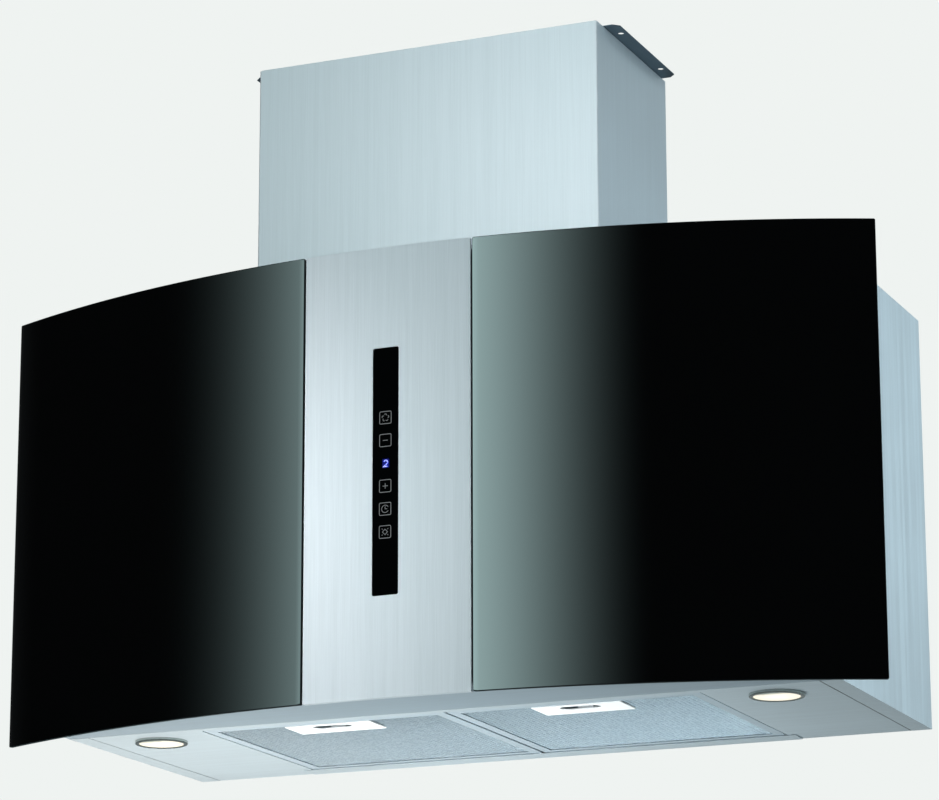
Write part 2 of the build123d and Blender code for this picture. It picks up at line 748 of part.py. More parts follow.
def blade_profile():
    """One forward-curved blade, from the inner to the outer radius of the wheel."""
    inner, outer = impeller_radius - impeller_depth, impeller_radius - 1
    lead = radians(7.0)
    belly = lead / 5
    thick = blade_thickness / impeller_radius
    middle = (inner + outer) / 2

    def at(radius, angle):
        return radius * cos(angle), radius * sin(angle)

    with BuildSketch() as blade:
        with BuildLine():
            ThreePointArc(at(inner, 0), at(middle, belly), at(outer, lead))
            Line(at(outer, lead), at(outer, lead + thick))
            ThreePointArc(at(outer, lead + thick), at(middle, belly + thick), at(inner, thick))
            Line(at(inner, thick), at(inner, 0))
        make_face()
    return blade.sketch


def make_impeller():
    """Double-width wheel: a ring of forward-curved blades each side of one disc, and a hub."""
    side = impeller_width / 2
    inner = impeller_radius - impeller_depth
    blade = blade_profile()
    with BuildPart() as wheel:
        with BuildSketch(fan_plane(-side)):
            with PolarLocations(0, blade_count):
                add(blade)
        extrude(amount=impeller_width)
        with BuildSketch(fan_plane(-side), fan_plane(side - 2 * sheet)):
            Circle(impeller_radius)
            Circle(inner + impeller_depth / 2, mode=Mode.SUBTRACT)
        extrude(amount=2 * sheet)
        with BuildSketch(fan_plane(-sheet)):
            Circle(impeller_radius)
        extrude(amount=2 * sheet)
        with BuildSketch(fan_plane(-2 * shaft_radius)):
            Circle(3 * shaft_radius)
        extrude(amount=5 * shaft_radius)
        with BuildSketch(fan_plane(-side)):
            Circle(shaft_radius + shaft_clearance)
        extrude(amount=impeller_width, mode=Mode.SUBTRACT)
    keep(wheel, "impeller")


def make_motor():
    """Motor inside the wheel, with the shaft that carries the wheel."""
    near = -motor_gap
    far = near - motor_length
    shaft_end = far + motor_length / 4
    with BuildPart() as motor:
        with BuildSketch(fan_plane(far)):
            Circle(motor_radius)
        extrude(amount=motor_length)
        chamfer(motor.edges().filter_by(GeomType.CIRCLE), motor_round)
        with BuildSketch(fan_plane(near)):
            Circle(2.5 * shaft_radius)
        extrude(amount=3 * sheet)
        with BuildSketch(fan_plane(far + motor_length / 3)):
            Circle(motor_radius + motor_band)
        extrude(amount=motor_length / 3)
        with BuildSketch(fan_plane(shaft_end)):
            Circle(shaft_radius + shaft_clearance)
        extrude(amount=motor_length, mode=Mode.SUBTRACT)
    keep(motor, "motor")

    with BuildPart() as shaft:
        with BuildSketch(fan_plane(shaft_end + sheet)):
            Circle(shaft_radius)
        extrude(amount=3 * motor_length / 4 + motor_gap + 4 * shaft_radius)
        chamfer(shaft.edges().group_by(Axis.X)[-1], 0.6 * sheet)
    keep(shaft, "motor_shaft")


def make_motor_bracket():
    """Three-armed bracket on the left inlet ring, with a tube out to the motor's end."""
    arms_face = -fan_width / 2 - volute_wall - bracket_stand
    motor_end = -motor_gap - motor_length
    reach = inlet_radius + inlet_rim - bracket_sheet
    with BuildPart() as bracket:
        with BuildSketch(fan_plane(arms_face - bracket_sheet)):
            Circle(motor_radius * 0.6)
            with PolarLocations(reach / 2, 3, start_angle=90):
                Rectangle(reach, bracket_arm)
            Circle(motor_radius * 0.25, mode=Mode.SUBTRACT)
        extrude(amount=bracket_sheet)
        with BuildSketch(fan_plane(arms_face)):
            with PolarLocations(reach - bracket_foot / 2, 3, start_angle=90):
                Rectangle(bracket_foot, bracket_arm)
        extrude(amount=bracket_stand)
        with BuildSketch(fan_plane(arms_face)):
            Circle(motor_radius * 0.5)
            Circle(motor_radius * 0.25, mode=Mode.SUBTRACT)
        extrude(amount=motor_end - arms_face)
    keep(bracket, "motor_bracket")


# ---------------------------------------------------------------- duct outlet and damper
def make_outlet_collar():
    """Round spigot on the top plate that the duct slips over, drilled for the damper's rod."""
    with BuildPart() as collar:
        with BuildSketch(Plane.XY.offset(top)):
            with Locations((0, outlet_y)):
                Circle(collar_flange)
                with PolarLocations(collar_screw_circle, 4, start_angle=45):
                    Circle(screw_radius + screw_clearance, mode=Mode.SUBTRACT)
        extrude(amount=2 * sheet)
        with BuildSketch(Plane.XY.offset(top)):
            with Locations((0, outlet_y)):
                Circle(collar_radius)
        extrude(amount=collar_height)
        with BuildSketch(Plane.XY.offset(top)):
            with Locations((0, outlet_y)):
                Circle(collar_radius - collar_wall)
        extrude(amount=collar_height, mode=Mode.SUBTRACT)
        with BuildSketch(Plane.YZ.offset(-collar_flange)):
            with Locations((outlet_y, top + flap_rod_height)):
                Circle(flap_rod_radius + shaft_clearance)
        extrude(amount=2 * collar_flange, mode=Mode.SUBTRACT)
    keep(collar, "outlet_collar")


def make_damper_rod():
    """Rod across the collar that both flaps swing on."""
    with BuildPart() as rod:
        with BuildSketch(Plane.YZ.offset(running_gap - collar_radius)):
            with Locations((outlet_y, top + flap_rod_height)):
                Circle(flap_rod_radius)
        extrude(amount=2 * (collar_radius - running_gap))
    keep(rod, "damper_rod")


def make_flap(name, away):
    """Half-round flap on one side of the rod, with two knuckles round it."""
    radius = collar_radius - collar_wall - flap_clearance
    rod_z = top + flap_rod_height
    with BuildPart() as flap:
        with BuildSketch(Plane.XY.offset(rod_z - flap_thickness / 2)):
            with Locations((0, outlet_y)):
                Circle(radius)
                with Locations((0, away * (flap_setback - radius))):
                    Rectangle(2 * radius, 2 * radius, mode=Mode.SUBTRACT)
        extrude(amount=flap_thickness)
        for x in (away * knuckle_reach[1], -away * knuckle_reach[0]):
            knuckle_plane = Plane.YZ.offset(x - knuckle_length / 2)
            with BuildSketch(knuckle_plane):
                with Locations((outlet_y, rod_z)):
                    Circle(2 * flap_rod_radius)
                    with Locations((away * flap_setback / 2, 0)):
                        Rectangle(flap_setback + sheet, flap_thickness)
            extrude(amount=knuckle_length)
            with BuildSketch(knuckle_plane):
                with Locations((outlet_y, rod_z)):
                    Circle(flap_rod_radius + 2 * shaft_clearance)
            extrude(amount=knuckle_length, mode=Mode.SUBTRACT)
    keep(flap, name)


# ---------------------------------------------------------------- chimney
def chimney_screw_places():
    """X and Y of the screws that hold the chimney's foot folds to the top plate."""
    reach = chimney_width / 2 - chimney_sheet - lip * 0.65
    spread = chimney_depth / 4
    return [(side * reach, chimney_y + step) for side in (-1, 1) for step in (-spread, spread)]


def make_outer_chimney():
    """Lower chimney: a folded rectangular tube, with a fold along the foot of each side."""
    inner = (chimney_width - 2 * chimney_sheet, chimney_depth - 2 * chimney_sheet)
    with BuildPart() as chimney:
        with BuildSketch(Plane.XY.offset(top)):
            with Locations((0, chimney_y)):
                RectangleRounded(chimney_width, chimney_depth, chimney_corner)
                RectangleRounded(*inner, chimney_corner - chimney_sheet, mode=Mode.SUBTRACT)
        extrude(amount=chimney_height)
        for side in (-1, 1):
            fold = sorted((side * inner[0] / 2, side * (inner[0] / 2 - 1.3 * lip)))
            block(fold, (chimney_front + 2 * lip, chimney_back - 2 * lip),
                  (top, top + chimney_sheet))
        with BuildSketch(Plane.XY.offset(top)):
            with Locations(*chimney_screw_places()):
                Circle(screw_radius + screw_clearance)
        extrude(amount=chimney_sheet, mode=Mode.SUBTRACT)
    keep(chimney, "outer_chimney")


def make_inner_chimney():
    """Upper chimney, telescoped inside the lower one, with a drilled ceiling flange on each side."""
    inset = chimney_sheet + chimney_slide_gap
    size = (chimney_width - 2 * inset, chimney_depth - 2 * inset)
    bore = (size[0] - 2 * chimney_sheet, size[1] - 2 * chimney_sheet)
    flange_z = chimney_top + running_gap
    first = chimney_front + ceiling_flange_start
    outer_edge = size[0] / 2 + ceiling_flange
    with BuildPart() as chimney:
        with BuildSketch(Plane.XY.offset(chimney_top - inner_chimney_height)):
            with Locations((0, chimney_y)):
                RectangleRounded(*size, chimney_corner)
                RectangleRounded(*bore, chimney_corner - chimney_sheet, mode=Mode.SUBTRACT)
        extrude(amount=inner_chimney_height + running_gap + chimney_sheet)
        with BuildSketch(Plane.XY.offset(flange_z)):
            with BuildLine():
                Polyline((size[0] / 2 - chimney_sheet / 2, first), (outer_edge - lip / 2, first),
                         (outer_edge, first + lip / 2),
                         (outer_edge, first + ceiling_flange_length - lip / 2),
                         (outer_edge - lip / 2, first + ceiling_flange_length),
                         (size[0] / 2 - chimney_sheet / 2, first + ceiling_flange_length),
                         close=True)
            make_face()
            mirror(about=Plane.YZ)
            with Locations((0, first + ceiling_flange_length / 2)):
                with GridLocations(2 * (outer_edge - ceiling_hole_edge), ceiling_hole_spacing,
                                   2, 2):
                    Circle(ceiling_hole_radius, mode=Mode.SUBTRACT)
        extrude(amount=chimney_sheet)
    keep(chimney, "inner_chimney")


# ---------------------------------------------------------------- control behind the centre panel
control_y = bow_y - panel_face - 0.2
control_back = control_y + control_glass_thickness
holder_front = bow_y - carrier_face + 2 * sheet
board_front = holder_front + 3.0
control_z = under + control_low + control_height / 2


def control_plane(y):
    """Upright plane at that Y, facing the wall, centred on the control glass."""
    return Plane(origin=(0, y, control_z), x_dir=(1, 0, 0), z_dir=(0, -1, 0))


def key_heights():
    """Heights of the keys above the middle of the control glass, from the lowest up."""
    return [under + lowest_key + number * key_pitch - control_z for number in range(key_count)]


def make_control_glass():
    """Control glass, its front edges ground."""
    with BuildPart() as glass:
        with BuildSketch(control_plane(control_back)):
            RectangleRounded(control_width, control_height, control_corner)
        extrude(amount=control_glass_thickness)
        chamfer(glass.faces().sort_by(Axis.Y)[0].edges(), running_gap)
    keep(glass, "control_glass")


def make_control_board():
    """Circuit board behind the control glass, in a moulded tray that hangs on the carrier."""
    board_size = (control_width - 2 * sheet, control_height - 2 * sheet)
    board_back = board_front + board_thickness
    with BuildPart() as board:
        with BuildSketch(control_plane(board_back)):
            Rectangle(*board_size)
        extrude(amount=board_thickness)
        with BuildSketch(control_plane(board_back + board_part_height)):
            with Locations((0, board_plug[0] - board_size[1] / 2)):
                Rectangle(*board_plug)
            with GridLocations(0, board_chip[1], 1, 3):
                Rectangle(board_chip[0], board_chip[0])
        extrude(amount=board_part_height)
    keep(board, "control_board")

    tray = (control_width + 2 * holder_room, control_height + 2 * holder_room)
    floor = holder_front + holder_depth - holder_wall
    with BuildPart() as holder:
        with BuildSketch(control_plane(holder_front + holder_depth)):
            RectangleRounded(*tray, holder_room)
        extrude(amount=holder_depth)
        with BuildSketch(control_plane(floor)):
            Rectangle(tray[0] - 2 * holder_wall, tray[1] - 2 * holder_wall)
        extrude(amount=holder_depth, mode=Mode.SUBTRACT)
        with BuildSketch(control_plane(floor)):
            with GridLocations(board_size[0] - 2.5 * peg_radius, board_size[1] - 10 * peg_radius,
                               2, 2):
                Circle(peg_radius)
        extrude(amount=floor - board_back)
    keep(holder, "board_holder")


def make_key_sensors():
    """Display module and the sensing springs of the keys, between the glass and the board."""
    depth = board_front - control_back - 2 * shaft_clearance
    window = control_width - 8 * sheet
    with BuildPart() as display:
        with BuildSketch(control_plane(board_front)):
            with Locations((0, key_heights()[display_key])):
                Rectangle(window * display_share, key_pitch * display_share)
        extrude(amount=depth)
    keep(display, "display_module")

    with BuildPart() as springs:
        with BuildSketch(control_plane(board_front)):
            for number, height in enumerate(key_heights()):
                if number != display_key:
                    with Locations((0, height)):
                        Circle(key_spring[0])
                        Circle(key_spring[1], mode=Mode.SUBTRACT)
        extrude(amount=depth)
    keep(springs, "key_sensor_springs")


# ---------------------------------------------------------------- electrics
def make_electronics_box():
    """Box on the back panel for the mains connections and the speed control, and its lid."""
    ys = (-sheet - box_depth, -sheet)
    zs = (under + box_low, under + box_low + box_height)
    middle_x, middle_y, middle_z = (sum(limits) / 2 for limits in (box_x, ys, zs))
    with BuildPart() as box:
        block(box_x, ys, zs)
        fillet(box.edges().filter_by(Axis.Y), box_corner)
        block((box_x[0] + box_wall, box_x[1] - box_wall), (ys[0] - box_wall, ys[1] - box_wall),
              (zs[0] + box_wall, zs[1] - box_wall), mode=Mode.SUBTRACT)
        with BuildSketch(Plane.XY.offset(zs[1] - box_wall - sheet)):
            with Locations((middle_x, middle_y)):
                with GridLocations(box_knockouts[1], 0, 3, 1):
                    Circle(box_knockouts[0])
        extrude(amount=2 * box_wall, mode=Mode.SUBTRACT)
    keep(box, "electronics_box")

    width = box_x[1] - box_x[0] - 2 * box_wall - sheet
    height = box_height - 2 * box_wall - sheet
    with BuildPart() as lid:
        block(box_x, (ys[0] - lid_sheet, ys[0]), zs)
        fillet(lid.edges().filter_by(Axis.Y), box_corner)
        with BuildSketch(Plane.XZ.offset(-ys[0])):
            with Locations((middle_x, middle_z)):
                Rectangle(width, height)
                Rectangle(width - 2 * lid_sheet, height - 2 * lid_sheet, mode=Mode.SUBTRACT)
        extrude(amount=-box_corner)
    keep(lid, "electronics_lid")


def make_cable_gland():
    """Gland in the top plate where the mains lead enters: a threaded body, a nut and a domed cap."""
    plane = Plane.XY.move(Location((gland_x, gland_y, 0)))
    thread_radius, thread_length = gland_thread
    with BuildPart() as gland:
        with BuildSketch(plane.offset(top - sheet - thread_length)):
            Circle(thread_radius)
        extrude(amount=thread_length + sheet + gland_base)
        with BuildSketch(plane.offset(top)):
            RegularPolygon(gland_across, 6)
        extrude(amount=gland_base)
        with BuildSketch(plane.offset(top + gland_base)):
            Circle(gland_across - 2 * sheet)
        extrude(amount=gland_cap)
        chamfer(gland.edges().group_by(Axis.Z)[-1], 3 * sheet)
        with BuildSketch(plane.offset(top - 2 * thread_length)):
            Circle(gland_bore)
        extrude(amount=2 * thread_length + 2 * (gland_base + gland_cap), mode=Mode.SUBTRACT)
    keep(gland, "cable_gland")

    with BuildPart() as nut:
        with BuildSketch(plane.offset(top - sheet - gland_nut_height)):
            RegularPolygon(gland_across, 6)
            Circle(thread_radius + shaft_clearance, mode=Mode.SUBTRACT)
        extrude(amount=gland_nut_height)
    keep(nut, "gland_nut")


def make_capacitor():
    """Run capacitor of the motor, held to the back panel by a strap."""
    centre = Plane.XY.move(Location((capacitor_x, -3 * sheet - capacitor_radius, 0)))
    low = under + capacitor_low
    pitch, tab_width, tab_height = capacitor_tabs
    with BuildPart() as capacitor:
        with BuildSketch(centre.offset(low)):
            Circle(capacitor_radius)
        extrude(amount=capacitor_height)
        chamfer(capacitor.edges().group_by(Axis.Z)[-1], 2 * sheet)
        with BuildSketch(centre.offset(low + capacitor_height)):
            with GridLocations(pitch, 0, 2, 1):
                Rectangle(sheet, tab_width)
        extrude(amount=tab_height)
    keep(capacitor, "capacitor")

    with BuildPart() as strap:
        with BuildSketch(centre.offset(low + (capacitor_height - strap_width) / 2)):
            Circle(capacitor_radius + strap_sheet)
            with Locations((0, capacitor_radius + 1.5 * sheet)):
                Rectangle(2 * (capacitor_radius + strap_ear), sheet)
            Circle(capacitor_radius + 2 * shaft_clearance, mode=Mode.SUBTRACT)
        extrude(amount=strap_width)
    keep(strap, "capacitor_strap")


def make_lamp_driver():
    """Low-voltage supply of the lamps, screwed to the pan beside the left lamp."""
    width, depth, height = driver_size
    reach, ear_width = driver_ear
    low = under + sheet
    with BuildPart() as driver:
        block((-lamp_x - width / 2, -lamp_x + width / 2), (driver_y - depth / 2, driver_y + depth / 2),
              (low, low + height))
        chamfer(driver.faces().sort_by(Axis.Z)[-1].edges(), 2 * sheet)
        block((-lamp_x - width / 2 - reach, -lamp_x + width / 2 + reach),
              (driver_y - ear_width / 2, driver_y + ear_width / 2), (low, low + 2 * sheet))
    keep(driver, "lamp_driver")


# ---------------------------------------------------------------- screws
def make_screws(name, plane, places, grip):
    """A group of like screws: domed heads on the plane, shanks behind it."""
    with BuildPart() as screws:
        with BuildSketch(plane):
            with Locations(*places):
                Circle(screw_head_radius)
        extrude(amount=screw_head_height)
        rims = screws.edges().filter_by(
            lambda edge: plane.to_local_coords(edge.center()).Z > screw_head_height / 2)
        chamfer(rims.filter_by(GeomType.CIRCLE), screw_head_height / 2)
        with BuildSketch(plane):
            with Locations(*places):
                Circle(screw_radius)
        extrude(amount=-grip)
    keep(screws, name)


def main():
    make_glass()
    make_bonding_strips()
    make_centre_panel()
    make_carrier()
    make_front_bottom_plate()
    make_side_panel()
    make_back_panel()
    make_top_plate()
    make_bottom_pan()
    make_filter_rail()
    make_filter_frame()
    make_filter_mesh()
    make_filter_core()
    make_latch()
    make_latch_spring()
    make_lamp()
    make_blower_housing()
    make_inlet_rings()
    make_impeller()
    make_motor()
    make_motor_bracket()
    make_outlet_collar()
    make_damper_rod()
    make_flap("front_flap", -1)
    make_flap("rear_flap", 1)
    make_outer_chimney()
    make_inner_chimney()
    make_control_glass()
    make_control_board()
    make_key_sensors()
    make_electronics_box()
    make_cable_gland()
    make_capacitor()
    make_lamp_driver()
    fold_plane = Plane(origin=(0, front + sheet, 0), x_dir=(-1, 0, 0), z_dir=(0, 1, 0))
    make_screws("carrier_screws", fold_plane, carrier_screw_places(), short_screw)
    make_screws("chimney_screws", Plane.XY.offset(top + chimney_sheet), chimney_screw_places(),
                long_screw)
    corner = collar_screw_circle / sqrt(2)
    collar_places = [(x, outlet_y + y) for x in (-corner, corner) for y in (-corner, corner)]
    make_screws("collar_screws", Plane.XY.offset(top + 2 * sheet), collar_places, long_screw)


main()
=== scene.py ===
"""Curved glass range hood: finishes and fine pieces of its bowed front, body, filters and chimney.

Metres, in the frame of the CAD part: X to the viewer's right, Y into the wall, Z up.
"""

import json
from functools import cache
from math import asin, cos, pi, radians, sin, sqrt, tau

import bmesh
import bpy
from mathutils import Matrix, Vector

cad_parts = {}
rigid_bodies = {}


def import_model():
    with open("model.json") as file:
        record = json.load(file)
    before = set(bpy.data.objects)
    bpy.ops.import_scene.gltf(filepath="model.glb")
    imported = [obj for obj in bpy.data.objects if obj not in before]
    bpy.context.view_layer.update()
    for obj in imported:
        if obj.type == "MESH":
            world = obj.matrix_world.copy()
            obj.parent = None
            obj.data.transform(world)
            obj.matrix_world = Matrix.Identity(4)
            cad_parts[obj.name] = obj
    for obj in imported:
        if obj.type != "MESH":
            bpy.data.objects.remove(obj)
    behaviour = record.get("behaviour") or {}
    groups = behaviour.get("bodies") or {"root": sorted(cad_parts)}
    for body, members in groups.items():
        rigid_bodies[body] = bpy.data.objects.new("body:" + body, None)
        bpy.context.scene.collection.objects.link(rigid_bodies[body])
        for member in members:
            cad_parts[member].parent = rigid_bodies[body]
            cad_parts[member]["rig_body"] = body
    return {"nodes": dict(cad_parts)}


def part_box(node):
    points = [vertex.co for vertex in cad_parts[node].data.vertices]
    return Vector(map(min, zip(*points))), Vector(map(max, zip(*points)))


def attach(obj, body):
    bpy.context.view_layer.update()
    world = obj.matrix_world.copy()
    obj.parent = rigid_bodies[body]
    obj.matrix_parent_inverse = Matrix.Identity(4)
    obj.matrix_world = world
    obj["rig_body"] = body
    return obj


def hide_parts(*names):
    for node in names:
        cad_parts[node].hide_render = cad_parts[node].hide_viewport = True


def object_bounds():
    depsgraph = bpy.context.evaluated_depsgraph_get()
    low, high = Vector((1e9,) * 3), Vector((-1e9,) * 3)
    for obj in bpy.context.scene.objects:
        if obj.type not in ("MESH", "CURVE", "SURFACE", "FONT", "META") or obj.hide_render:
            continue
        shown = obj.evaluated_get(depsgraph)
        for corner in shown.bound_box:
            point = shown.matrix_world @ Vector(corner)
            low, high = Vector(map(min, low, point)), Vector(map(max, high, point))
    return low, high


bl_info = {
    "name": "Curved glass range hood",
    "version": (1, 0, 0),
    "blender": (4, 5, 0),
    "location": "3D View > Sidebar > Hood",
    "description": "Builds the visible pieces and finishes of a curved glass range hood",
    "category": "Object",
}

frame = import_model()
CAD_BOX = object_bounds()
MM = 0.001
MERGE = 0.01 * MM          # corners nearer than this are one
TINY = 1e-9                # smaller numbers count as nought
SIDES = ("left", "right")


# ---- sizes and colours to change
def length(name, description, default):
    """A length in metres for the panel."""
    return bpy.props.FloatProperty(name=name, description=description, default=default, min=0.0,
                                   unit="LENGTH", precision=5)


def tint(name, description, default):
    """A linear colour for the panel."""
    return bpy.props.FloatVectorProperty(name=name, description=description, default=default,
                                         size=3, min=0.0, max=1.0, subtype="COLOR")


class HoodSizes(bpy.types.PropertyGroup):
    """Sizes of the fine pieces."""

    glass_radius: length("Glass radius", "Radius of the bowed glass's front face", 1068 * MM)
    glass_arris: length("Glass arris", "Width of the ground edge of the glass", 0.6 * MM)
    glass_corner: length("Glass corner", "Radius of the glass panels' corners", 1.5 * MM)
    panel_bend: length("Panel bend", "Outer radius of the centre panel's folded edges", 1.3 * MM)
    sheet: length("Sheet", "Thickness of the steel sheet", 1.0 * MM)
    strip: length("Strip", "Width of the flat strips that a bow is made of", 6 * MM)
    key_size: length("Key size", "Side of a key's printed outline", 11.7 * MM)
    key_line: length("Key line", "Width of the printed lines", 0.55 * MM)
    key_pitch: length("Key pitch", "Distance between keys", 21.8 * MM)
    lowest_key: length("Lowest key", "Height of the lowest key above the underside", 146.4 * MM)
    print_height: length("Print height", "How far the print stands on the glass", 0.05 * MM)
    mesh_long: length("Mesh length", "Long way of the filters' diamonds", 9.0 * MM)
    mesh_short: length("Mesh width", "Short way of the filters' diamonds", 5.0 * MM)
    mesh_strand: length("Mesh strand", "Width of the filters' strands", 0.9 * MM)
    lamp_edge: length("Lamp edge", "Round on the lamp ring's outer edge", 1.0 * MM)


class HoodColours(bpy.types.PropertyGroup):
    """Base colours of the finishes."""

    steel: tint("Steel", "Satin stainless steel", (0.62, 0.67, 0.71))
    body_steel: tint("Body steel", "Stainless steel of the body and chimney", (0.61, 0.68, 0.72))
    front_plate: tint("Front plate", "Steel of the plate behind the bowed front's lower edge",
                      (0.38, 0.45, 0.50))
    glass: tint("Glass", "Back-painted glass", (0.0004, 0.0007, 0.0009))
    glass_edge: tint("Glass edge", "Ground edge of the glass", (0.010, 0.016, 0.018))
    # The flange colour is painted shade: the flange is the chimney's own steel, darkened for the
    # shade it sits in.
    flange: tint("Ceiling flange", "Dull steel of the flange at the ceiling", (0.06, 0.11, 0.15))
    filter_frame: tint("Filter frame", "Anodised channel of the filters", (0.58, 0.66, 0.72))
    filter_mesh: tint("Filter mesh", "Expanded aluminium of the filters", (0.37, 0.43, 0.47))
    latch: tint("Latch", "Enamel of the filter latches", (0.86, 0.87, 0.87))
    lamp_ring: tint("Lamp ring", "Bright nickel of the lamp rings", (0.50, 0.54, 0.51))
    lamp_glow: tint("Lamp glow", "Light of the lamps", (1.0, 0.92, 0.76))
    key_print: tint("Key print", "Printed keys", (0.50, 0.50, 0.51))
    figure: tint("Figure", "Lit figure of the display", (0.05, 0.10, 1.0))


def sizes():
    """The sizes as the panel has them."""
    return bpy.context.scene.hood_sizes


def colours():
    """The colours as the panel has them."""
    return bpy.context.scene.hood_colours


# ---- node trees
def arithmetic(operation):
    """The two methods behind a sign, for a Link on its left and on its right."""
    return (lambda self, other: self.maths(operation, self, other),
            lambda self, other: self.maths(operation, other, self))


class Link:
    """An output socket that can be used in arithmetic."""

    def __init__(self, tree, socket):
        self.tree, self.socket = tree, socket

    def maths(self, operation, *values):
        """A Math node on the given values."""
        return self.tree.node("ShaderNodeMath", {"operation": operation}, dict(enumerate(values)))

    __add__, __radd__ = arithmetic("ADD")
    __sub__, __rsub__ = arithmetic("SUBTRACT")
    __mul__, __rmul__ = arithmetic("MULTIPLY")
    __truediv__, __rtruediv__ = arithmetic("DIVIDE")

    def power(self, exponent):
        return self.maths("POWER", self, exponent)


class Tree:
    """A node tree being built: shader, world or geometry."""

    def __init__(self, tree):
        self.tree = tree

    def node(self, kind, settings=None, inputs=None, output=0):
        """Makes a node with its settings, feeds its sockets, and returns one of its outputs."""
        made = self.tree.nodes.new(kind)
        for name, value in (settings or {}).items():
            setattr(made, name, value)
        for name, value in (inputs or {}).items():
            self.feed(made.inputs[name], value)
        return Link(self, made.outputs[output])

    def feed(self, socket, value):
        """Links or sets a socket."""
        if isinstance(value, Link):
            self.tree.links.new(value.socket, socket)
        elif socket.type == "RGBA":
            socket.default_value = (*value[:3], 1.0)
        else:
            socket.default_value = value

    def axes(self, vector, names="XYZ"):
        """The named components of a vector."""
        return [self.node("ShaderNodeSeparateXYZ", {}, {"Vector": vector}, output=name)
                for name in names]

    def between(self, value, low, high, result=(0.0, 1.0)):
        """A smooth step of a value between two limits."""
        return self.node("ShaderNodeMapRange", {"interpolation_type": "SMOOTHSTEP"},
                         {"Value": value, "From Min": low, "From Max": high,
                          "To Min": result[0], "To Max": result[1]})

    def blend(self, share, first, second):
        """Mixes two colours."""
        return self.node("ShaderNodeMix", {"data_type": "RGBA"},
                         {"Factor": share, 6: first, 7: second}, output=2)


class Finish(Tree):
    """A procedural material built round one Principled surface."""

    def __init__(self, name):
        self.material = bpy.data.materials.new(name)
        self.material.use_nodes = True
        super().__init__(self.material.node_tree)
        self.surface = self.tree.nodes["Principled BSDF"]

    def place(self):
        """The point on the piece, in metres."""
        return self.node("ShaderNodeTexCoord", output="Object")

    def noise(self, scale, detail=2.0, stretch=(1.0, 1.0, 1.0)):
        """Noise on the piece, drawn out along an axis whose stretch is small."""
        at = self.node("ShaderNodeMapping", {}, {"Vector": self.place(), "Scale": stretch})
        return self.node("ShaderNodeTexNoise", {},
                         {"Vector": at, "Scale": scale, "Detail": detail})

    def set(self, **values):
        """Feeds the surface's sockets, named with underscores for spaces."""
        for name, value in values.items():
            self.feed(self.surface.inputs[name.replace("_", " ")], value)

    def bump(self, height, distance, strength):
        """A relief in metres, softened by its strength."""
        return self.node("ShaderNodeBump", {}, {"Height": height, "Distance": distance,
                                                "Strength": strength})


def shaded(colour, share):
    """The colour at a share of its brightness."""
    return tuple(c * share for c in colour)


def finish(build):
    """Turns a function that builds a finish into one that returns its material, made once."""
    @cache
    def material():
        made = Finish(build.__name__)
        build(made)
        return made.material
    return material


# ---- finishes
GRAIN_FINE = 1500.0        # scratches to the metre across the grain
GRAIN_BROAD = 170.0
GRAIN_ALONG = 0.012        # how much slower they change along it
SATIN = 0.42               # roughness of the brushed pieces
SEAM_SHADOW_SPAN = (1.2 * MM, 0.6 * MM)    # a seam's painted shadow starts and is full this far inside its X
SEAM_SHADOW_SHARE = 0.12          # and leaves this share of the colour


def satin_metal(made, colour, along, grain=1.0, roughness=SATIN, metallic=0.5, seam=None):
    """Metal sheet with a fine grain along an axis, clouding and scratches, and a painted shadow
    just inside a seam's X.
    """
    stretch = tuple(GRAIN_ALONG if axis == along else 1.0 for axis in "XYZ")
    fine = made.noise(GRAIN_FINE, 2.0, stretch)
    broad = made.noise(GRAIN_BROAD, 3.0, stretch)
    cloud = made.noise(5.0, 3.0)
    lines = fine * 0.55 + broad * 0.45
    shade = made.between(lines + (cloud - 0.5) * 0.35, 0.3, 0.7)
    light = tuple(min(1.0, c * (1 + 0.05 * grain)) for c in colour)
    worn = (lines - 0.5) * (0.30 * grain) + (cloud - 0.5) * 0.10 + roughness
    base = made.blend(shade, shaded(colour, 1 - 0.10 * grain), light)
    if seam:
        # Painted shadow: darkens a strip just inside the seam's X, standing in for the shade in the
        # gap beside it.
        x = made.axes(made.place(), "X")[0]
        painted_seam_shadow = made.between(x.maths("ABSOLUTE", x), seam - SEAM_SHADOW_SPAN[0], seam - SEAM_SHADOW_SPAN[1])
        base = made.blend(painted_seam_shadow, base, shaded(colour, SEAM_SHADOW_SHARE))
    made.set(Base_Color=base, Metallic=metallic, Roughness=worn,
             Normal=made.bump(lines, 0.06 * MM * grain, 0.35))


@finish
def panel_steel(made):
    satin_metal(made, colours().steel, "Z", 0.7)


@finish
def chimney_steel(made):
    satin_metal(made, colours().body_steel, "Z", 0.5)


@finish
def flange_steel(made):
    # Painted shade: the chimney's flange at the ceiling, darkened for the shade it sits in.
    satin_metal(made, colours().flange, "Y")


@finish
def body_steel(made):
    satin_metal(made, colours().body_steel, "X")


@finish
def pan_steel(made):
    # The pan's side seams get a painted shadow.
    satin_metal(made, colours().body_steel, "X", 0.7, seam=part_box("bottom_pan")[1].x)


@finish
def plate_steel(made):
    satin_metal(made, colours().front_plate, "X")


@finish
def side_steel(made):
    satin_metal(made, colours().body_steel, "Z")


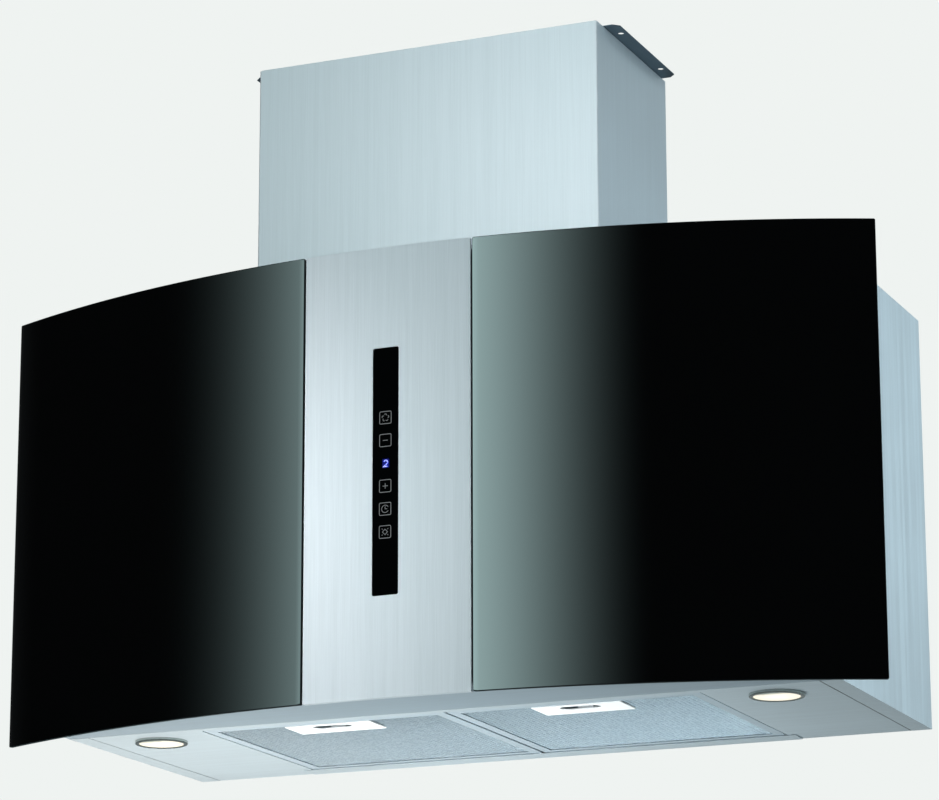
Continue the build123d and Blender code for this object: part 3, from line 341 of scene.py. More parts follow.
@finish
def coated_steel(made):
    """Zinc-coated sheet of the inner pieces, with its faint crystal flakes."""
    flakes = made.node("ShaderNodeTexVoronoi", {"feature": "F1"},
                       {"Vector": made.place(), "Scale": 130.0}, output="Color")
    grey = made.node("ShaderNodeRGBToBW", {}, {"Color": flakes})
    cloud = made.noise(14.0, 3.0)
    shade = grey * 0.5 + cloud * 0.5
    made.set(Base_Color=made.blend(shade, (0.40, 0.43, 0.45), (0.60, 0.63, 0.65)),
             Metallic=0.85, Roughness=0.36 + grey * 0.20,
             Normal=made.bump(grey, 0.03 * MM, 0.3))


@finish
def black_glass(made):
    """Polished back-painted glass, near black, with wiped haze."""
    haze = made.noise(9.0, 4.0)
    pane = made.blend(haze, colours().glass, shaded(colours().glass, 2.2))
    made.set(Base_Color=pane, Roughness=made.between(haze, 0.45, 0.8, (0.015, 0.05)),
             IOR=2.2, Specular_IOR_Level=1.0,
             Normal=made.bump(made.noise(3.5, 1.0), 0.05 * MM, 0.25))


@finish
def ground_glass(made):
    """Dull ground edge of the black glass."""
    speck = made.noise(700.0)
    edge = colours().glass_edge
    made.set(Base_Color=made.blend(speck, shaded(edge, 0.6), edge),
             Roughness=0.35 + speck * 0.2, Specular_IOR_Level=0.12,
             Normal=made.bump(speck, 0.02 * MM, 0.4))


@finish
def control_black_glass(made):
    """Polished black glass of the touch control."""
    haze = made.noise(40.0, 3.0)
    black = made.blend(haze, (0.0003, 0.0004, 0.0006), (0.0009, 0.0012, 0.0015))
    made.set(Base_Color=black, Roughness=made.between(haze, 0.4, 0.8, (0.04, 0.10)),
             Specular_IOR_Level=0.008)


@finish
def key_print(made):
    """Pale print of the keys, a little uneven, with a faint painted glow though the print is no
    lamp.
    """
    ink = made.noise(1800.0)
    pale = made.blend(ink, shaded(colours().key_print, 0.75), colours().key_print)
    # The print's colour is also fed to Emission as a faint painted glow.
    made.set(Base_Color=pale, Roughness=0.45 + ink * 0.2,
             Emission_Color=pale, Emission_Strength=0.25)


@finish
def lit_figure(made):
    """Blue light of the display's figure, brightest along the middle of its strokes."""
    glow = made.noise(900.0, 1.0)
    pale = tuple(0.45 + 0.55 * c for c in colours().figure)
    lit = made.blend(made.between(glow, 0.35, 0.65), colours().figure, pale)
    made.set(Base_Color=(0.01, 0.02, 0.10), Roughness=0.3, Emission_Color=lit,
             Emission_Strength=1.6)


@finish
def display_window(made):
    """Dark blue field round the lit figure."""
    glow = made.noise(500.0)
    made.set(Base_Color=(0.003, 0.004, 0.02), Roughness=0.3,
             Emission_Color=made.blend(glow, (0.0, 0.0, 0.05), (0.01, 0.02, 0.35)),
             Emission_Strength=0.8)


@finish
def anodised_frame(made):
    satin_metal(made, colours().filter_frame, "X", 0.6)


@finish
def expanded_mesh(made):
    """Matt aluminium strands, brighter where the blade sheared them."""
    sheared = made.noise(420.0)
    shade = made.between(sheared, 0.35, 0.65)
    strand = colours().filter_mesh
    made.set(Base_Color=made.blend(shade, shaded(strand, 0.8), strand), Metallic=0.35,
             Roughness=0.38 + sheared * 0.25, Normal=made.bump(sheared, 0.05 * MM, 0.4))


@finish
def knitted_pack(made):
    """Dark pack of knitted aluminium behind the mesh."""
    wire = made.node("ShaderNodeTexVoronoi", {"feature": "DISTANCE_TO_EDGE"},
                     {"Vector": made.place(), "Scale": 330.0})
    strand = made.between(wire, 0.02, 0.14, (1.0, 0.0))
    made.set(Base_Color=made.blend(strand, (0.10, 0.11, 0.12), (0.46, 0.49, 0.52)),
             Metallic=0.6, Roughness=0.55 - strand * 0.1,
             Normal=made.bump(strand, 0.4 * MM, 0.7))


@finish
def latch_enamel(made):
    """White satin enamel of the latches, faintly rubbed where fingers reach."""
    rub = made.noise(60.0, 3.0)
    shade = made.between(rub, 0.55, 0.8)
    white = colours().latch
    made.set(Base_Color=made.blend(shade, white, shaded(white, 0.93)),
             Roughness=0.30 + shade * 0.15,
             Normal=made.bump(made.noise(900.0), 0.02 * MM, 0.2))


@finish
def lamp_ring(made):
    """Bright nickel ring with the fine rings of its turning."""
    turned = made.noise(1300.0, 2.0, (1.0, 1.0, 0.2))
    nickel = colours().lamp_ring
    made.set(Base_Color=made.blend(turned, shaded(nickel, 0.8), nickel), Metallic=1.0,
             Roughness=0.14 + turned * 0.12, Normal=made.bump(turned, 0.02 * MM, 0.3))


@finish
def lamp_glass(made):
    """Frosted lens lit from behind: near white in the middle, warmer to its rim, with a painted
    dark reflection towards its front.
    """
    rim = made.node("ShaderNodeAttribute", {"attribute_name": "lens_rim"}, output="Fac")
    facet = made.node("ShaderNodeTexVoronoi", {"feature": "F1"},
                      {"Vector": made.place(), "Scale": 210.0}, output="Distance")
    warmth = made.between(rim + (facet - 0.4) * 0.35, 0.15, 0.95)
    lit = made.blend(warmth, (1.0, 1.0, 0.92), colours().lamp_glow)
    # Painted reflection: a dark green-grey crescent towards the lens's front stands in for the dark
    # recess it reflects.
    ahead = made.node("ShaderNodeAttribute", {"attribute_name": "lens_front"}, output="Fac")
    painted_reflection = made.between(ahead + (facet - 0.4) * 0.12, 0.45, 0.95)
    made.set(Base_Color=(0.12, 0.12, 0.10), Roughness=0.35,
             Emission_Color=made.blend(painted_reflection, lit, (0.10, 0.16, 0.13)),
             Emission_Strength=0.95, Normal=made.bump(facet, 0.3 * MM, 0.5))


def moulded(made, colour, roughness, grain=260.0):
    """Moulded plastic with a fine spark-eroded texture."""
    skin = made.noise(grain * 8)
    cloud = made.noise(20.0)
    made.set(Base_Color=made.blend(cloud, shaded(colour, 0.85), shaded(colour, 1.1)),
             Roughness=roughness + (skin - 0.5) * 0.15,
             Normal=made.bump(skin, 0.05 * MM, 0.35))


@finish
def dark_plastic(made):
    moulded(made, (0.035, 0.036, 0.038), 0.48)


@finish
def pale_plastic(made):
    moulded(made, (0.68, 0.68, 0.65), 0.42)


@finish
def foam_strip(made):
    moulded(made, (0.02, 0.02, 0.02), 0.85, 90.0)


@finish
def circuit_board(made):
    """Green solder mask with faint copper tracks beneath it."""
    upright = made.node("ShaderNodeMapping", {},
                        {"Vector": made.place(), "Rotation": (pi / 2, 0, 0)})
    brick = made.node("ShaderNodeTexBrick", {"offset": 0.3},
                      {"Vector": upright, "Scale": 220.0, "Mortar Size": 0.04}, output="Fac")
    made.set(Base_Color=made.blend(brick, (0.012, 0.12, 0.05), (0.03, 0.26, 0.12)),
             Roughness=0.32 + brick * 0.1, Normal=made.bump(brick, 0.03 * MM, 0.5))


@finish
def motor_enamel(made):
    satin_metal(made, (0.16, 0.17, 0.18), "X", 0.5, metallic=0.35)


@finish
def drawn_can(made):
    satin_metal(made, (0.72, 0.73, 0.75), "Z", 0.7, 0.30)


@finish
def plated_steel(made):
    """Zinc-plated screws, springs and shafts with a faint yellow passivation."""
    film = made.noise(120.0, 3.0)
    made.set(Base_Color=made.blend(film, (0.58, 0.60, 0.60), (0.70, 0.68, 0.62)),
             Metallic=1.0, Roughness=0.24 + film * 0.16,
             Normal=made.bump(made.noise(1500.0), 0.02 * MM, 0.3))


# ---- pieces
def as_object(bm, name, *materials):
    """Turns a bmesh into a smooth-shaded object at the origin."""
    mesh = bpy.data.meshes.new(name)
    bm.to_mesh(mesh)
    bm.free()
    for material in materials:
        mesh.materials.append(material)
    piece = bpy.data.objects.new(name, mesh)
    bpy.context.scene.collection.objects.link(piece)
    mesh.shade_smooth()
    return piece


def flatten(piece):
    """Replaces a piece's mesh by what its modifiers make of it."""
    graph = bpy.context.evaluated_depsgraph_get()
    graph.update()
    made = bpy.data.meshes.new_from_object(piece.evaluated_get(graph), depsgraph=graph)
    old = piece.data
    piece.modifiers.clear()
    piece.data = made
    made.name = piece.name
    bpy.data.meshes.remove(old)
    return piece


def sharpen(piece, angle=35.0):
    """Marks the piece's real edges and lets its large faces keep their own normals."""
    piece.data.shade_smooth()
    piece.data.set_sharp_from_angle(angle=radians(angle))
    even = piece.modifiers.new("even", "WEIGHTED_NORMAL")
    even.keep_sharp = True
    return flatten(piece)


def ease_edges(piece, width, segments=2):
    """Rounds the piece's edges, but not the seams between its nearly flush faces."""
    bevel = piece.modifiers.new("edges", "BEVEL")
    bevel.width = width
    bevel.segments = segments
    bevel.limit_method = "ANGLE"
    bevel.angle_limit = radians(30)
    bevel.use_clamp_overlap = True
    return flatten(piece)


def stand_for(piece, *nodes):
    """The piece rides with the nodes it stands for, which are hidden."""
    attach(piece, frame["nodes"][nodes[0]]["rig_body"])
    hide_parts(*nodes)
    return piece


def dress(node, material, edge=0.25 * MM, segments=2):
    """A copy of a CAD node with its edges eased, which stands for it."""
    bm = bmesh.new()
    bm.from_mesh(frame["nodes"][node].data)
    bmesh.ops.remove_doubles(bm, verts=bm.verts, dist=MERGE)
    bmesh.ops.dissolve_limit(bm, angle_limit=radians(0.2), verts=bm.verts, edges=bm.edges)
    piece = as_object(bm, f"{node}_finished", material)
    ease_edges(piece, edge, segments)
    return stand_for(sharpen(piece), node)


def paint(material, *nodes):
    """Gives CAD nodes that keep their own mesh a finish."""
    for node in nodes:
        mesh = frame["nodes"][node].data
        mesh.materials.clear()
        mesh.materials.append(material)


def rounded_outline(low, high, radius, steps=6):
    """Corner points of a rectangle with rounded corners, anticlockwise."""
    points = []
    for number, (cx, cy) in enumerate(((high[0] - radius, high[1] - radius),
                                       (low[0] + radius, high[1] - radius),
                                       (low[0] + radius, low[1] + radius),
                                       (high[0] - radius, low[1] + radius))):
        for step in range(steps + 1):
            angle = (number + step / steps) * pi / 2
            points.append((cx + radius * cos(angle), cy + radius * sin(angle)))
    return points


def upright_face(bm, outlines, depth):
    """Fills outlines drawn in X and Z at a depth in Y: the first is the rim, the rest are holes."""
    edges = []
    for outline in outlines:
        corners = [bm.verts.new((x, depth, z)) for x, z in outline]
        edges += [bm.edges.new((corners[i - 1], corners[i])) for i in range(len(corners))]
    bmesh.ops.triangle_fill(bm, use_beauty=True, use_dissolve=False, edges=edges,
                            normal=(0, -1, 0))
    bm.normal_update()
    if sum(face.normal.y * face.calc_area() for face in bm.faces) > 0:
        bmesh.ops.reverse_faces(bm, faces=bm.faces)


def cut_strips(bm, low, high, width):
    """Divides a flat piece across X, so that it can be bent."""
    count = max(1, round((high - low) / width))
    for number in range(1, count):
        x = low + (high - low) * number / count
        bmesh.ops.bisect_plane(bm, geom=[*bm.verts, *bm.edges, *bm.faces], dist=1e-7,
                               plane_co=(x, 0, 0), plane_no=(1, 0, 0))


# ---- geometry trees
def geometry_tree(name, inputs):
    """A geometry tree with a geometry input and output and the named inputs."""
    group = bpy.data.node_groups.new(name, "GeometryNodeTree")
    group.interface.new_socket("Geometry", in_out="INPUT", socket_type="NodeSocketGeometry")
    group.interface.new_socket("Geometry", in_out="OUTPUT", socket_type="NodeSocketGeometry")
    for label, kind in inputs.items():
        group.interface.new_socket(label, in_out="INPUT", socket_type=f"NodeSocket{kind}")
    tree = Tree(group)
    source = group.nodes.new("NodeGroupInput")
    values = {socket.name: Link(tree, socket) for socket in source.outputs if socket.name}
    return tree, values


def close_tree(tree, geometry, *materials):
    """Ends a tree in real geometry with its materials, each a material and the faces it is for."""
    made = tree.node("GeometryNodeRealizeInstances", {}, {"Geometry": geometry})
    for material, faces in materials:
        made = tree.node("GeometryNodeSetMaterial", {},
                         {"Geometry": made, "Selection": faces, "Material": material})
    out = tree.tree.nodes.new("NodeGroupOutput")
    tree.feed(out.inputs["Geometry"], made)
    return tree.tree


def run_tree(piece, group, values):
    """Runs a geometry tree on a piece, with its named inputs set."""
    modifier = piece.modifiers.new(group.name, "NODES")
    modifier.node_group = group
    for item in group.interface.items_tree:
        if item.in_out == "INPUT" and item.name in values:
            modifier[item.identifier] = values[item.name]
    return flatten(piece)


def bow_tree():
    """Bends a flat piece: X becomes the way round the bow, Y the depth behind the glass's face."""
    tree, given = geometry_tree("bow", {"Radius": "Float", "Centre": "Float",
                                        "Face Material": "Material", "Edge Material": "Material"})
    place = tree.node("GeometryNodeInputPosition")
    x, y, z = tree.axes(place)
    turn = x / given["Radius"]
    reach = given["Radius"] - y
    bent = tree.node("ShaderNodeCombineXYZ", {},
                     {"X": turn.maths("SINE", turn) * reach,
                      "Y": given["Centre"] - turn.maths("COSINE", turn) * reach, "Z": z})
    moved = tree.node("GeometryNodeSetPosition", {},
                      {"Geometry": given["Geometry"], "Position": bent})
    edge = tree.node("GeometryNodeInputNamedAttribute", {"data_type": "FLOAT"},
                     {"Name": "ground_edge"})
    return close_tree(tree, moved, (given["Face Material"], True),
                      (given["Edge Material"], edge.maths("GREATER_THAN", edge, 0.5)))


def glass_bow():
    """Radius of the glass's face, and where the bow's centre stands in Y."""
    low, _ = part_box("right_glass")
    radius = sizes().glass_radius
    return radius, low.y + sqrt(radius**2 - low.x**2)


def bend(piece):
    """Bends a flat piece to the glass's bow."""
    radius, centre = glass_bow()
    group = bpy.data.node_groups.get("bow") or bow_tree()
    return run_tree(piece, group, {"Radius": radius, "Centre": centre,
                                   "Face Material": piece.data.materials[0],
                                   "Edge Material": piece.data.materials[-1]})


def along_bow(x):
    """The way round the bow to the line square to the glass at X."""
    radius, _ = glass_bow()
    return radius * asin(x / radius)


# ---- bowed front
GLASS_THICKNESS = 4 * MM
PANEL_WALL = 0.8 * MM      # the centre panel's sheet, bends and all
PANEL_CORNER = 0.6 * MM
WINDOW_CORNER = 1.7 * MM   # radius of the control window's corners
WINDOW_GAP = 0.2 * MM      # round the control glass


class HOOD_OT_glass(bpy.types.Operator):
    """Make the two bowed glass panels with their ground edges"""

    bl_idname = "hood.glass"
    bl_label = "Glass panels"

    def execute(self, context):
        for side in SIDES:
            self.make_pane(side)
        paint(foam_strip(), "left_glass_bonding_strips", "right_glass_bonding_strips")
        return {"FINISHED"}

    def make_pane(self, side):
        """Draws a pane flat, grinds its edges and bends it."""
        low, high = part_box(f"{side}_glass")
        first, last = sorted(along_bow(x) for x in (low.x, high.x))
        size = sizes()
        bm = bmesh.new()
        upright_face(bm, [rounded_outline((first, low.z), (last, high.z), size.glass_corner)], 0.0)
        back = bmesh.ops.extrude_face_region(bm, geom=bm.faces[:])
        moved = [v for v in back["geom"] if isinstance(v, bmesh.types.BMVert)]
        bmesh.ops.translate(bm, verts=moved, vec=(0, GLASS_THICKNESS, 0))
        bmesh.ops.recalc_face_normals(bm, faces=bm.faces)
        rims = [e for e in bm.edges if e.calc_face_angle(0) > radians(60)]
        bmesh.ops.bevel(bm, geom=rims, offset=size.glass_arris, segments=2, affect="EDGES",
                        profile=0.5)
        ground = bm.faces.layers.float.new("ground_edge")
        for face in bm.faces:
            face[ground] = 0.0 if abs(face.normal.y) > 0.98 else 1.0
        cut_strips(bm, first, last, size.strip)
        pane = as_object(bm, f"{side}_glass_pane", black_glass(), ground_glass())
        stand_for(sharpen(bend(pane), 40.0), f"{side}_glass")


class HOOD_OT_centre_panel(bpy.types.Operator):
    """Make the bowed steel panel with its folded edges and control window"""

    bl_idname = "hood.centre_panel"
    bl_label = "Centre panel"

    def execute(self, context):
        size = sizes()
        low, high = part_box("centre_panel")
        window_low, window_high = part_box("control_glass")
        gap = WINDOW_GAP
        reach = along_bow(high.x)
        radius, centre = glass_bow()
        front = radius - (centre - low.y)
        back = radius - Vector((high.x, centre - high.y)).length
        bm = bmesh.new()
        rim = rounded_outline((-reach, low.z), (reach, high.z), PANEL_CORNER, 2)
        window = rounded_outline((window_low.x - gap, window_low.z - gap),
                                 (window_high.x + gap, window_high.z + gap), WINDOW_CORNER, 4)
        upright_face(bm, [rim, window], front)
        cut_strips(bm, -reach, reach, size.strip)
        border = [e for e in bm.edges if e.is_boundary]
        folded = bmesh.ops.extrude_edge_only(bm, edges=border)
        for corner in [v for v in folded["geom"] if isinstance(v, bmesh.types.BMVert)]:
            at_window = (abs(corner.co.x) < window_high.x + 2 * gap
                         and window_low.z - 2 * gap < corner.co.z < window_high.z + 2 * gap)
            corner.co.y = front + size.sheet if at_window else back
        bmesh.ops.recalc_face_normals(bm, faces=bm.faces)
        panel = as_object(bm, "bowed_centre_panel", panel_steel())
        ease_edges(panel, size.panel_bend, 4)
        wall = panel.modifiers.new("sheet", "SOLIDIFY")
        wall.thickness = PANEL_WALL
        wall.offset = -1.0
        flatten(panel)
        stand_for(sharpen(bend(panel), 40.0), "centre_panel")
        dress("front_carrier", side_steel())
        paint(plated_steel(), "key_sensor_springs")
        return {"FINISHED"}


# ---- touch control
DISPLAY_KEY = 3            # counted upwards from the lowest key
KEY_COUNT = 6
KEY_CORNER = 1.2 * MM
SYMBOL_SIZE = 2.6 * MM
SYMBOL_LINE = 0.5 * MM
FIGURE_LINE = 1.1 * MM
FIGURE_HALF = (1.9 * MM, 2.9 * MM)     # half the lit figure's width and height
FIGURE_SHIFT = (0.5 * MM, -0.3 * MM)   # its middle, from the middle of the display's place
FIELD_LOW = (-3.0 * MM, -4.6 * MM)     # the display field's corners, from there too
FIELD_HIGH = (4.0 * MM, 4.0 * MM)
FIELD_CORNER = 1 * MM


def key_tree():
    """A column of rounded square outlines, without the one at the display."""
    tree, given = geometry_tree("key_outlines", {
        "Size": "Float", "Line": "Float", "Height": "Float", "Corner": "Float", "Pitch": "Float",
        "Count": "Int", "Start": "Vector", "Skip": "Int", "Material": "Material"})
    step = tree.node("ShaderNodeCombineXYZ", {}, {"Z": given["Pitch"]})
    column = tree.node("GeometryNodeMeshLine", {"mode": "OFFSET"},
                       {"Count": given["Count"], "Start Location": given["Start"],
                        "Offset": step})
    skipped = tree.node("FunctionNodeCompare", {"data_type": "INT", "operation": "EQUAL"},
                        {2: tree.node("GeometryNodeInputIndex"), 3: given["Skip"]})
    points = tree.node("GeometryNodeDeleteGeometry", {},
                       {"Geometry": column, "Selection": skipped})
    square = tree.node("GeometryNodeCurvePrimitiveQuadrilateral", {},
                       {"Width": given["Size"], "Height": given["Size"]})
    soft = tree.node("GeometryNodeFilletCurve", {"mode": "POLY"},
                     {"Curve": square, "Count": 4, "Radius": given["Corner"]})
    section = tree.node("GeometryNodeCurvePrimitiveQuadrilateral", {},
                        {"Width": given["Line"], "Height": given["Height"]})
    ring = tree.node("GeometryNodeCurveToMesh", {}, {"Curve": soft, "Profile Curve": section})
    stood = tree.node("GeometryNodeTransform", {}, {"Geometry": ring, "Rotation": (pi / 2, 0, 0)})
    placed = tree.node("GeometryNodeInstanceOnPoints", {}, {"Points": points, "Instance": stood})
    return close_tree(tree, placed, (given["Material"], True))


def stroke(bm, points, width, face_y, height):
    """A flat printed stroke through points in X and Z, with mitred turns."""
    sharpest = 0.4         # keeps the mitre of a sharp turn short
    closed = points[0] == points[-1]
    line = [Vector(p) for p in (points[:-1] if closed else points)]
    count = len(line)
    left, right = [], []
    for i, point in enumerate(line):
        before = line[i - 1] if closed or i else None
        after = line[(i + 1) % count] if closed or i < count - 1 else None
        way_in = (point - before).normalized() if before is not None else None
        way_out = (after - point).normalized() if after is not None else None
        way_in, way_out = way_in or way_out, way_out or way_in
        across = Vector((-(way_in.y + way_out.y), way_in.x + way_out.x)).normalized()
        share = max(sharpest, across.dot(Vector((-way_in.y, way_in.x))))
        left.append(point + across * width / 2 / share)
        right.append(point - across * width / 2 / share)
    for i in range(count if closed else count - 1):
        j = (i + 1) % count
        add_prism(bm, (left[i], right[i], right[j], left[j]), face_y, height)


def add_prism(bm, ring, face_y, height):
    """A thin upright prism over an outline in X and Z."""
    front = [bm.verts.new((p[0], face_y - height, p[1])) for p in ring]
    back = [bm.verts.new((p[0], face_y, p[1])) for p in ring]
    bm.faces.new(front)
    bm.faces.new(back[::-1])
    for i in range(len(ring)):
        j = (i + 1) % len(ring)
        bm.faces.new((front[j], front[i], back[i], back[j]))


def circle(cx, cz, radius, first=0.0, last=tau, steps=20):
    """Points along an arc in X and Z."""
    points = [(cx + radius * cos(first + (last - first) * i / steps),
               cz + radius * sin(first + (last - first) * i / steps)) for i in range(steps + 1)]
    if abs(last - first - tau) < TINY:
        points[-1] = points[0]
    return points


def key_symbols(x, heights):
    """Strokes of the symbols on the keys, from the lowest up: lamp, clock, plus, minus, fan."""
    lamp, clock, plus, minus, fan = heights
    r = SYMBOL_SIZE
    strokes = [[(x - r, lamp), (x, lamp + r), (x + r, lamp), (x, lamp - r), (x - r, lamp)]]
    strokes += [[(x + 1.35 * r * cos(a), lamp + 1.35 * r * sin(a)),
                 (x + 1.75 * r * cos(a), lamp + 1.75 * r * sin(a))]
                for a in (radians(45 + 90 * k) for k in range(4))]
    strokes += [circle(x, clock, 1.35 * r, radians(30), radians(330)),
                [(x, clock + 0.9 * r), (x, clock), (x + 0.8 * r, clock)]]
    strokes += [[(x - r, plus), (x + r, plus)], [(x, plus - r), (x, plus + r)],
                [(x - r, minus), (x + r, minus)]]
    for k in range(5):
        a = tau * k / 5 + pi / 2
        strokes.append(circle(x + 0.95 * r * cos(a), fan + 0.95 * r * sin(a), 0.42 * r,
                              a - 1.9, a + 1.2, 7))
    return strokes


def figure_strokes(x, z):
    """The figure two, as a round-shouldered stroke."""
    half_width, half_height = FIGURE_HALF
    top = circle(x, z + half_height - half_width, half_width, radians(165), radians(-35), 10)
    return [top + [(x - half_width, z - half_height), (x + half_width, z - half_height)]]


class HOOD_OT_control(bpy.types.Operator):
    """Make the touch control: black glass, printed keys and the lit figure"""

    bl_idname = "hood.control"
    bl_label = "Touch control"

    def execute(self, context):
        size = sizes()
        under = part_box("bottom_pan")[0].z
        dress("control_glass", control_black_glass(), 0.15 * MM)
        face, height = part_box("control_glass")[0].y, size.print_height
        heights = [under + size.lowest_key + k * size.key_pitch for k in range(KEY_COUNT)]
        outlines = as_object(bmesh.new(), "key_outlines", key_print())
        run_tree(outlines, key_tree(), {
            "Size": size.key_size, "Line": size.key_line, "Height": height, "Corner": KEY_CORNER,
            "Pitch": size.key_pitch, "Count": KEY_COUNT, "Skip": DISPLAY_KEY,
            "Start": (0.0, face - height / 2, heights[0]), "Material": key_print()})
        self.print_strokes("key_symbols", key_print(), SYMBOL_LINE, face, height,
                           key_symbols(0.0, heights[:DISPLAY_KEY] + heights[DISPLAY_KEY + 1:]))
        z = heights[DISPLAY_KEY]
        low, high = ((x, z + rise) for x, rise in (FIELD_LOW, FIELD_HIGH))
        field = bmesh.new()
        add_prism(field, rounded_outline(low, high, FIELD_CORNER, 3), face, height)
        self.keep_print(as_object(field, "display_field", display_window()))
        self.print_strokes("lit_figure", lit_figure(), FIGURE_LINE, face - height, height,
                           figure_strokes(FIGURE_SHIFT[0], z + FIGURE_SHIFT[1]))
        self.keep_print(outlines)
        paint(circuit_board(), "control_board")
        paint(dark_plastic(), "board_holder", "display_module")
        return {"FINISHED"}

    def keep_print(self, piece):
        """The print rides with the control glass."""
        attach(piece, frame["nodes"]["control_glass"]["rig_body"])

    def print_strokes(self, name, material, width, face, height, strokes):
        """Prints strokes of one width as one piece."""
        bm = bmesh.new()
        for points in strokes:
            stroke(bm, points, width, face, height)
        self.keep_print(as_object(bm, name, material))


# ---- body and chimney
BODY_EDGE = 0.45 * MM      # round on the edges of the body's outer sheets
CHIMNEY_EDGE = 0.2 * MM


class HOOD_OT_body(bpy.types.Operator):
    """Dress the body's sheets with eased edges and satin steel"""

    bl_idname = "hood.body"
    bl_label = "Body"

    def execute(self, context):
        for side in SIDES:
            dress(f"{side}_side_panel", side_steel(), BODY_EDGE)
        dress("bottom_pan", pan_steel(), BODY_EDGE)
        dress("filter_rail", body_steel())
        dress("front_bottom_plate", plate_steel())
        for node in ("top_plate", "back_panel"):
            dress(node, coated_steel())
        return {"FINISHED"}


class HOOD_OT_chimney(bpy.types.Operator):
    """Dress the two telescoping chimneys and the duct outlet inside them"""

    bl_idname = "hood.chimney"
    bl_label = "Chimney"

    def execute(self, context):
        dress("outer_chimney", chimney_steel(), CHIMNEY_EDGE)
        inner = dress("inner_chimney", chimney_steel(), CHIMNEY_EDGE)
        inner.data.materials.append(flange_steel())
        # The flange's faces beyond the outer chimney take the darker painted-shade colour.
        flange_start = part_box("outer_chimney")[1].x + CHIMNEY_EDGE
        for face in inner.data.polygons:
            face.material_index = 1 if abs(face.center.x) > flange_start else 0
        for node in ("outlet_collar", "front_flap", "rear_flap"):
            dress(node, dark_plastic(), 0.3 * MM)
        paint(plated_steel(), "damper_rod")
        return {"FINISHED"}


# ---- filters
MESH_SHEET = 0.35 * MM     # thickness of the expanded metal
MESH_LEAN = 0.55           # how far a strand leans, as a share of its width
MESH_LIFT = 0.05 * MM      # of the mesh above its CAD piece's lower face
BAY_INSET = 2 * MM         # the mesh runs in under the latch by this


def lattice_tree():
    """Expanded metal: diamonds on a staggered grid, left out over the latch's bay."""
    tree, given = geometry_tree("expanded_mesh", {
        "Long": "Float", "Short": "Float", "Columns": "Int", "Rows": "Int", "Centre": "Vector",
        "Bay Low": "Vector", "Bay High": "Vector", "Diamond": "Object", "Material": "Material"})
    grids = []
    for shift in (0, 1):
        grid = tree.node("GeometryNodeMeshGrid", {}, {
            "Size X": given["Long"] * (given["Columns"] - (1 + shift)),
            "Size Y": given["Short"] * (given["Rows"] - (1 + shift)),
            "Vertices X": given["Columns"] - shift, "Vertices Y": given["Rows"] - shift})
        grids.append(tree.node("GeometryNodeTransform", {},
                               {"Geometry": grid, "Translation": given["Centre"]}))
    join = tree.tree.nodes.new("GeometryNodeJoinGeometry")
    for grid in grids:
        tree.feed(join.inputs["Geometry"], grid)
    place = tree.node("GeometryNodeInputPosition")
    inside = None
    for axis in "XY":
        at, low, high = (tree.axes(vector, axis)[0]
                         for vector in (place, given["Bay Low"], given["Bay High"]))
        within = at.maths("GREATER_THAN", at, low) * at.maths("LESS_THAN", at, high)
        inside = within if inside is None else inside * within
    points = tree.node("GeometryNodeDeleteGeometry", {},
                       {"Geometry": Link(tree, join.outputs[0]), "Selection": inside})
    diamond = tree.node("GeometryNodeObjectInfo", {}, {"Object": given["Diamond"]},
                        output="Geometry")
    placed = tree.node("GeometryNodeInstanceOnPoints", {},
                       {"Points": points, "Instance": diamond})
    return close_tree(tree, placed, (given["Material"], True))


def make_diamond(long, short, strand):
    """One diamond of the expanded metal: four leaning strands in a ring."""
    lean = strand * MESH_LEAN
    bm = bmesh.new()
    rings = []
    for size, height in ((0.0, 0.0), (strand, lean), (strand, lean + MESH_SHEET),
                         (0.0, MESH_SHEET)):
        half_long, half_short = long / 2 - size * long / short * 0.5, short / 2 - size * 0.5
        rings.append([bm.verts.new((x, y, height)) for x, y in
                      ((half_long, 0), (0, half_short), (-half_long, 0), (0, -half_short))])
    for k in range(4):
        first, second = rings[k], rings[(k + 1) % 4]
        for i in range(4):
            j = (i + 1) % 4
            bm.faces.new((first[i], first[j], second[j], second[i]))
    bmesh.ops.recalc_face_normals(bm, faces=bm.faces)
    return as_object(bm, "diamond", expanded_mesh())


class HOOD_OT_filters(bpy.types.Operator):
    """Make the filters' expanded mesh, and dress their frames"""

    bl_idname = "hood.filters"
    bl_label = "Grease filters"

    def execute(self, context):
        size = sizes()
        diamond = make_diamond(size.mesh_long, size.mesh_short, size.mesh_strand)
        group = lattice_tree()
        for side in SIDES:
            dress(f"{side}_filter_frame", anodised_frame(), 0.3 * MM)
            self.make_mesh(side, diamond, group)
            paint(knitted_pack(), f"{side}_filter_core")
            paint(plated_steel(), f"{side}_latch_spring")
        bpy.data.objects.remove(diamond)
        return {"FINISHED"}

    def make_mesh(self, side, diamond, group):
        """Fills a filter's mesh box with diamonds."""
        size = sizes()
        low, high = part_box(f"{side}_filter_mesh")
        latch_low, latch_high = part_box(f"{side}_filter_latch")
        centre = (low + high) / 2
        width, depth = high.x - low.x, high.y - low.y
        piece = as_object(bmesh.new(), f"{side}_expanded_mesh", expanded_mesh())
        run_tree(piece, group, {
            "Long": size.mesh_long, "Short": size.mesh_short,
            "Columns": int(width / size.mesh_long), "Rows": int(depth / size.mesh_short),
            "Centre": (centre.x, centre.y, low.z + MESH_LIFT),
            "Bay Low": (latch_low.x + BAY_INSET, low.y - 1, 0),
            "Bay High": (latch_high.x - BAY_INSET, latch_high.y - BAY_INSET, 0),
            "Diamond": diamond, "Material": expanded_mesh()})
        piece.data.shade_flat()
        stand_for(piece, f"{side}_filter_mesh")


